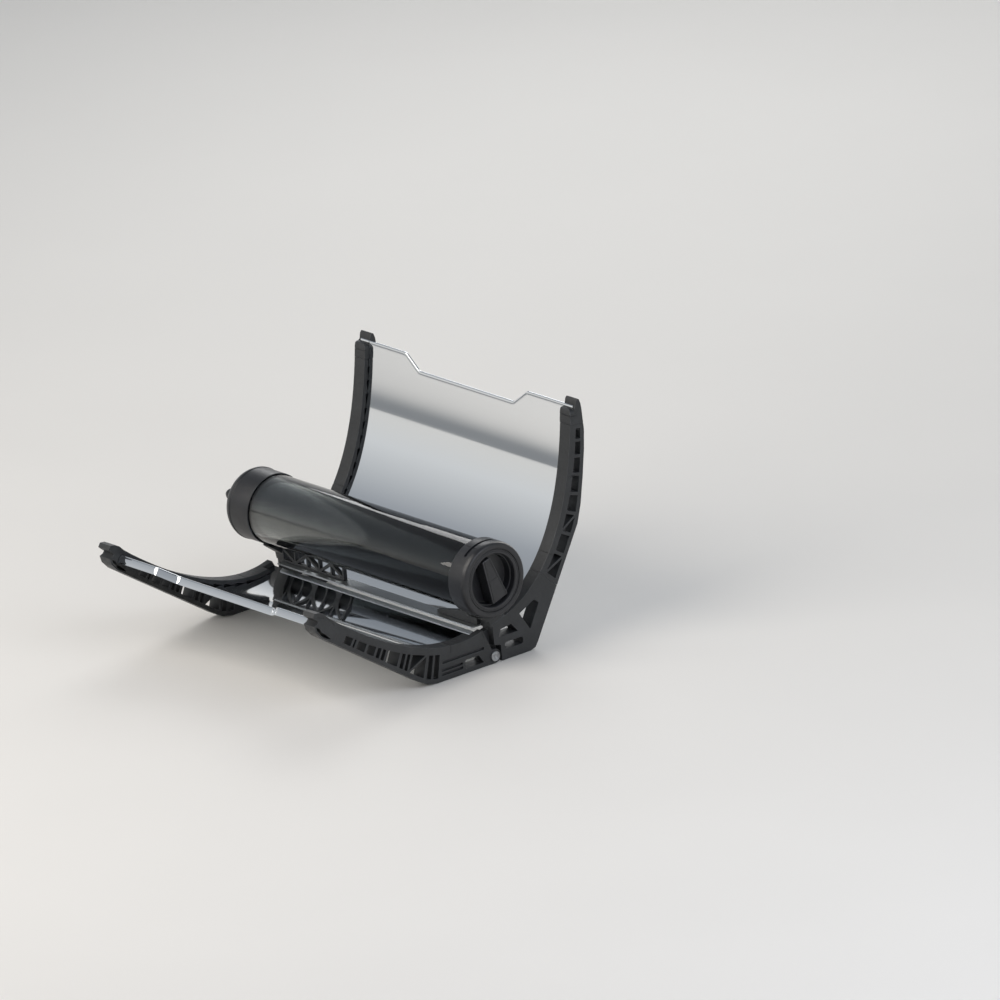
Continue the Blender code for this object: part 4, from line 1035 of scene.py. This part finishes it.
class SOLAROVEN_OT_far_cup(bpy.types.Operator):
    """Turn the cup over the tube's domed end, with its rim, bead and nipple"""
    bl_idname = "solar_oven.far_cup"
    bl_label = "Far end cup"

    def execute(self, context):
        low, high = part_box("far_end_cup")
        bore = TUBE_RADIUS + MEETING_GAP
        radius = bore + CUP_WALL
        dome_x = FOLD_AXIS.x + CUP_DOME_X
        depth = DOME_DEPTH + MEETING_GAP
        angles = [pi / 2 * i / 24 for i in range(24)]
        nipple = NIPPLE_BORE + NIPPLE_WALL
        inner = [(dome_x - depth * sin(a), bore * cos(a), 0) for a in angles]
        inner += [(dome_x - depth - MEETING_GAP, NIPPLE_BORE, 0)]
        inner += [(low.x + x, NIPPLE_BORE * share, fillet) for x, share, fillet in NIPPLE_FLOOR]
        outer = [(dome_x - (depth + CUP_WALL) * sin(a), radius * cos(a), 0) for a in angles[1:-1]]
        outer += [(dome_x - depth - CUP_WALL, nipple + NIPPLE_FLARE, 0.0020),
                  (dome_x - depth - NIPPLE_NECK, nipple, 0.0022)]
        outer += [(low.x + x, nipple * share, fillet) for x, share, fillet in NIPPLE_NOSE]
        rim = [(high.x, bore, 0.0003), (high.x, radius, 0.0005)]
        bead = [(dome_x + x, radius + height, fillet) for x, height, fillet in CUP_BEAD]
        profile = filleted(inner[::-1] + rim + bead + outer)
        cup = turned_mesh("far_cup", profile, closed=False)
        stand_in("far_cup_turned", cup, "cap_plastic", "far_end_cup")
        return {'FINISHED'}


class SOLAROVEN_OT_cap(bpy.types.Operator):
    """Turn the recessed cap with its stepped wall and set its tapered, engraved handle across it"""
    bl_idname = "solar_oven.cap"
    bl_label = "Cap and handle"

    def execute(self, context):
        low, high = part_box("end_cap")
        flange = (high.z - low.z) / 2
        back = high.x - CAP_FLANGE
        floor = high.x - RECESS_DEPTH
        step = high.x - LEDGE_DEPTH
        body = TUBE_RADIUS - GLASS_WALL - VACUUM_GAP - ABSORBER_WALL - CAP_CLEARANCE
        wide = body - RECESS_WALL
        narrow = wide - LEDGE_WIDTH
        corners = [(floor, 0, 0), (floor, narrow, 0.0010), (step, narrow, 0.0005), (step, wide, 0.0003),
                   (high.x - MOUTH_DEPTH, wide, 0.0004), (high.x, wide + MOUTH_WIDTH, 0.0006)]
        corners += [(high.x - depth, flange - inset, fillet) for depth, inset, fillet in CAP_GROOVE]
        corners += [(high.x, flange, 0.0008), (back, flange, 0.0003), (back, body, 0),
                    (low.x, body, 0.0005), (low.x, 0, 0)]
        cap = turned_mesh("end_cap", filleted(corners), closed=False)
        stand_in("end_cap_turned", cap, "cap_plastic", "end_cap")
        handle = softened_node("cap_handle", ["cap_plastic", "worn_cap_edge"], HANDLE_EDGE)
        self.engrave(handle, narrow - HANDLE_FROM_WALL)
        return {'FINISHED'}

    def engrave(self, handle, reach):
        """Cuts a line inside each long edge of the bar, and one across it half way."""
        top, foot, inset = HANDLE_TOP / 2, HANDLE_FOOT / 2, sizes().handle_line
        up = Vector((-sin(HANDLE_TILT), cos(HANDLE_TILT)))
        across = Vector((cos(HANDLE_TILT), sin(HANDLE_TILT)))
        axis = Vector((TUBE_AXIS.y, TUBE_AXIS.z))
        head = axis + up * (sqrt(reach ** 2 - top ** 2) - LINE_FROM_END)
        base = axis - up * (sqrt(reach ** 2 - foot ** 2) - LINE_FROM_END)
        left = [head - across * (top - inset), base - across * (foot - inset)]
        right = [head + across * (top - inset), base + across * (foot - inset)]
        cross = [(left[0] + left[1]) / 2, (right[0] + right[1]) / 2]
        face = max(v.co.x for v in handle.data.vertices)
        for line in (left, right, cross):
            band = ribbon(line, sizes().seam_width)
            carve(handle, prism_mesh([band], face - sizes().seam_depth, face + CUT_MARGIN))
        even_shading(handle)


# The picture: where the drawing in the photograph puts the oven, in its pixels
IMAGE_SIZE = 1000
VIEW_RIGHT = Vector((0.62906, 0.77276, -0.08434))
VIEW_UP = Vector((-0.20440, 0.26910, 0.94117))
FRAME_WIDTH = 1.26334
ANCHOR_PIXEL = (495, 656)
ANCHOR_FROM_FOLD = Vector((0.218, 0.0, 0.0))
LENS = 1000.0

# The stage: the floor, the lamps as (name, place, width, watts, colour) and the tent's tones by height
FLOOR_RADIUS = 14.0
FLOOR_DROP = 0.0004
LAMP_AIM = 0.12
LAMPS = (
    ("Key soft box", (-0.6, -1.9, 2.1), 2.2, 54, "#fff8f0"),
    ("Fill soft box", (2.3, 0.1, 1.5), 1.9, 24, "#f2f6ff"),
    ("Rim soft box", (-1.5, 1.9, 1.8), 1.6, 22, "#ffffff"),
)
TENT_TONES = ((0.0, "#e4e2de"), (0.12, "#dfe0e0"), (0.45, "#a7abb0"), (1.0, "#6f747b"))


def place_camera(context):
    """A long lens at the drawing's angle, with the hinge pin at its place in the picture."""
    data = bpy.data.cameras.new("View of the drawing")
    data.lens = LENS
    data.clip_start = 1.0
    data.clip_end = 200.0
    camera = bpy.data.objects.new("View of the drawing", data)
    right = VIEW_RIGHT.normalized()
    back = right.cross(VIEW_UP).normalized()
    up = back.cross(right)
    pixel = FRAME_WIDTH / IMAGE_SIZE
    across, down = (place - IMAGE_SIZE / 2 for place in ANCHOR_PIXEL)
    aim = FOLD_AXIS + ANCHOR_FROM_FOLD - right * across * pixel + up * down * pixel
    distance = FRAME_WIDTH / 2 / (data.sensor_width / 2 / LENS)
    turn = Matrix((right, up, back)).transposed().to_4x4()
    camera.matrix_world = Matrix.Translation(aim + back * distance) @ turn
    context.scene.collection.objects.link(camera)
    context.scene.camera = camera


def place_lamp(context, name, place, width, power, colour):
    """A square soft box that faces the oven."""
    data = bpy.data.lights.new(name, 'AREA')
    data.shape = 'SQUARE'
    data.size = width
    data.energy = power
    data.color = linear(colour)[:3]
    lamp = bpy.data.objects.new(name, data)
    lamp.location = place
    aim = Vector((FOLD_AXIS.x, FOLD_AXIS.y, LAMP_AIM)) - lamp.location
    lamp.rotation_euler = aim.to_track_quat('-Z', 'Y').to_euler()
    context.scene.collection.objects.link(lamp)


def make_floor():
    """A wide, pale disc under the oven."""
    bm = bmesh.new()
    bmesh.ops.create_circle(bm, cap_ends=True, segments=96, radius=FLOOR_RADIUS)
    bmesh.ops.translate(bm, verts=bm.verts, vec=(0, 0, -FLOOR_DROP))
    link_piece("floor", mesh_of(bm, "floor", outward=False), ["studio_floor"])


def make_world(context):
    """A studio tent: pale all round, with a darker crown that gives the mirrors some tone."""
    world = bpy.data.worlds.new("Studio tent")
    world.use_nodes = True
    tree = world.node_tree
    direction = add_node(tree, "ShaderNodeTexCoord").outputs["Generated"]
    height = add_node(tree, "ShaderNodeSeparateXYZ", [(0, direction)]).outputs["Z"]
    ramp = add_node(tree, "ShaderNodeValToRGB", [("Fac", height)])
    set_stops(ramp, [(place, linear(code)) for place, code in TENT_TONES])
    tree.links.new(ramp.outputs["Color"], tree.nodes["Background"].inputs["Color"])
    tree.nodes["Background"].inputs["Strength"].default_value = 1.0
    context.scene.world = world


class SOLAROVEN_OT_stage(bpy.types.Operator):
    """Set the floor, the studio tent, the lamps and the camera"""
    bl_idname = "solar_oven.stage"
    bl_label = "Stage and camera"

    def execute(self, context):
        place_camera(context)
        make_floor()
        make_world(context)
        for lamp in LAMPS:
            place_lamp(context, *lamp)
        context.scene.view_settings.view_transform = 'Standard'
        return {'FINISHED'}


OPERATORS = (
    SOLAROVEN_OT_stage,
    SOLAROVEN_OT_ribs,
    SOLAROVEN_OT_reflectors,
    SOLAROVEN_OT_metal_parts,
    SOLAROVEN_OT_glass_tube,
    SOLAROVEN_OT_collar,
    SOLAROVEN_OT_far_cup,
    SOLAROVEN_OT_cap,
    SOLAROVEN_OT_soft_parts,
)


class SOLAROVEN_PT_panel(bpy.types.Panel):
    """Sizes, colours and the steps that make the oven"""
    bl_idname = "SOLAROVEN_PT_panel"
    bl_label = "Solar oven"
    bl_space_type = 'VIEW_3D'
    bl_region_type = 'UI'
    bl_category = "Solar Oven"

    def draw(self, context):
        layout = self.layout
        for group in (sizes(), colours()):
            box = layout.box()
            for name in group.bl_rna.properties.keys():
                if name not in ("rna_type", "name"):
                    box.prop(group, name)
        for operator in OPERATORS:
            layout.operator(operator.bl_idname)


CLASSES = (OvenSizes, OvenColours) + OPERATORS + (SOLAROVEN_PT_panel,)


def register():
    for cls in CLASSES:
        bpy.utils.register_class(cls)
    bpy.types.Scene.solar_oven_sizes = bpy.props.PointerProperty(type=OvenSizes)
    bpy.types.Scene.solar_oven_colours = bpy.props.PointerProperty(type=OvenColours)


def unregister():
    del bpy.types.Scene.solar_oven_colours
    del bpy.types.Scene.solar_oven_sizes
    for cls in reversed(CLASSES):
        bpy.utils.unregister_class(cls)


def remove_start_objects():
    """Clears the cube, lamp and camera of a new file, but nothing of the model."""
    for name in ("Cube", "Light", "Camera"):
        if name in bpy.data.objects:
            bpy.data.objects.remove(bpy.data.objects[name])


def main():
    register()
    remove_start_objects()
    for operator in OPERATORS:
        group, name = operator.bl_idname.split(".")
        getattr(getattr(bpy.ops, group), name)()


if __name__ == "__main__":
    main()
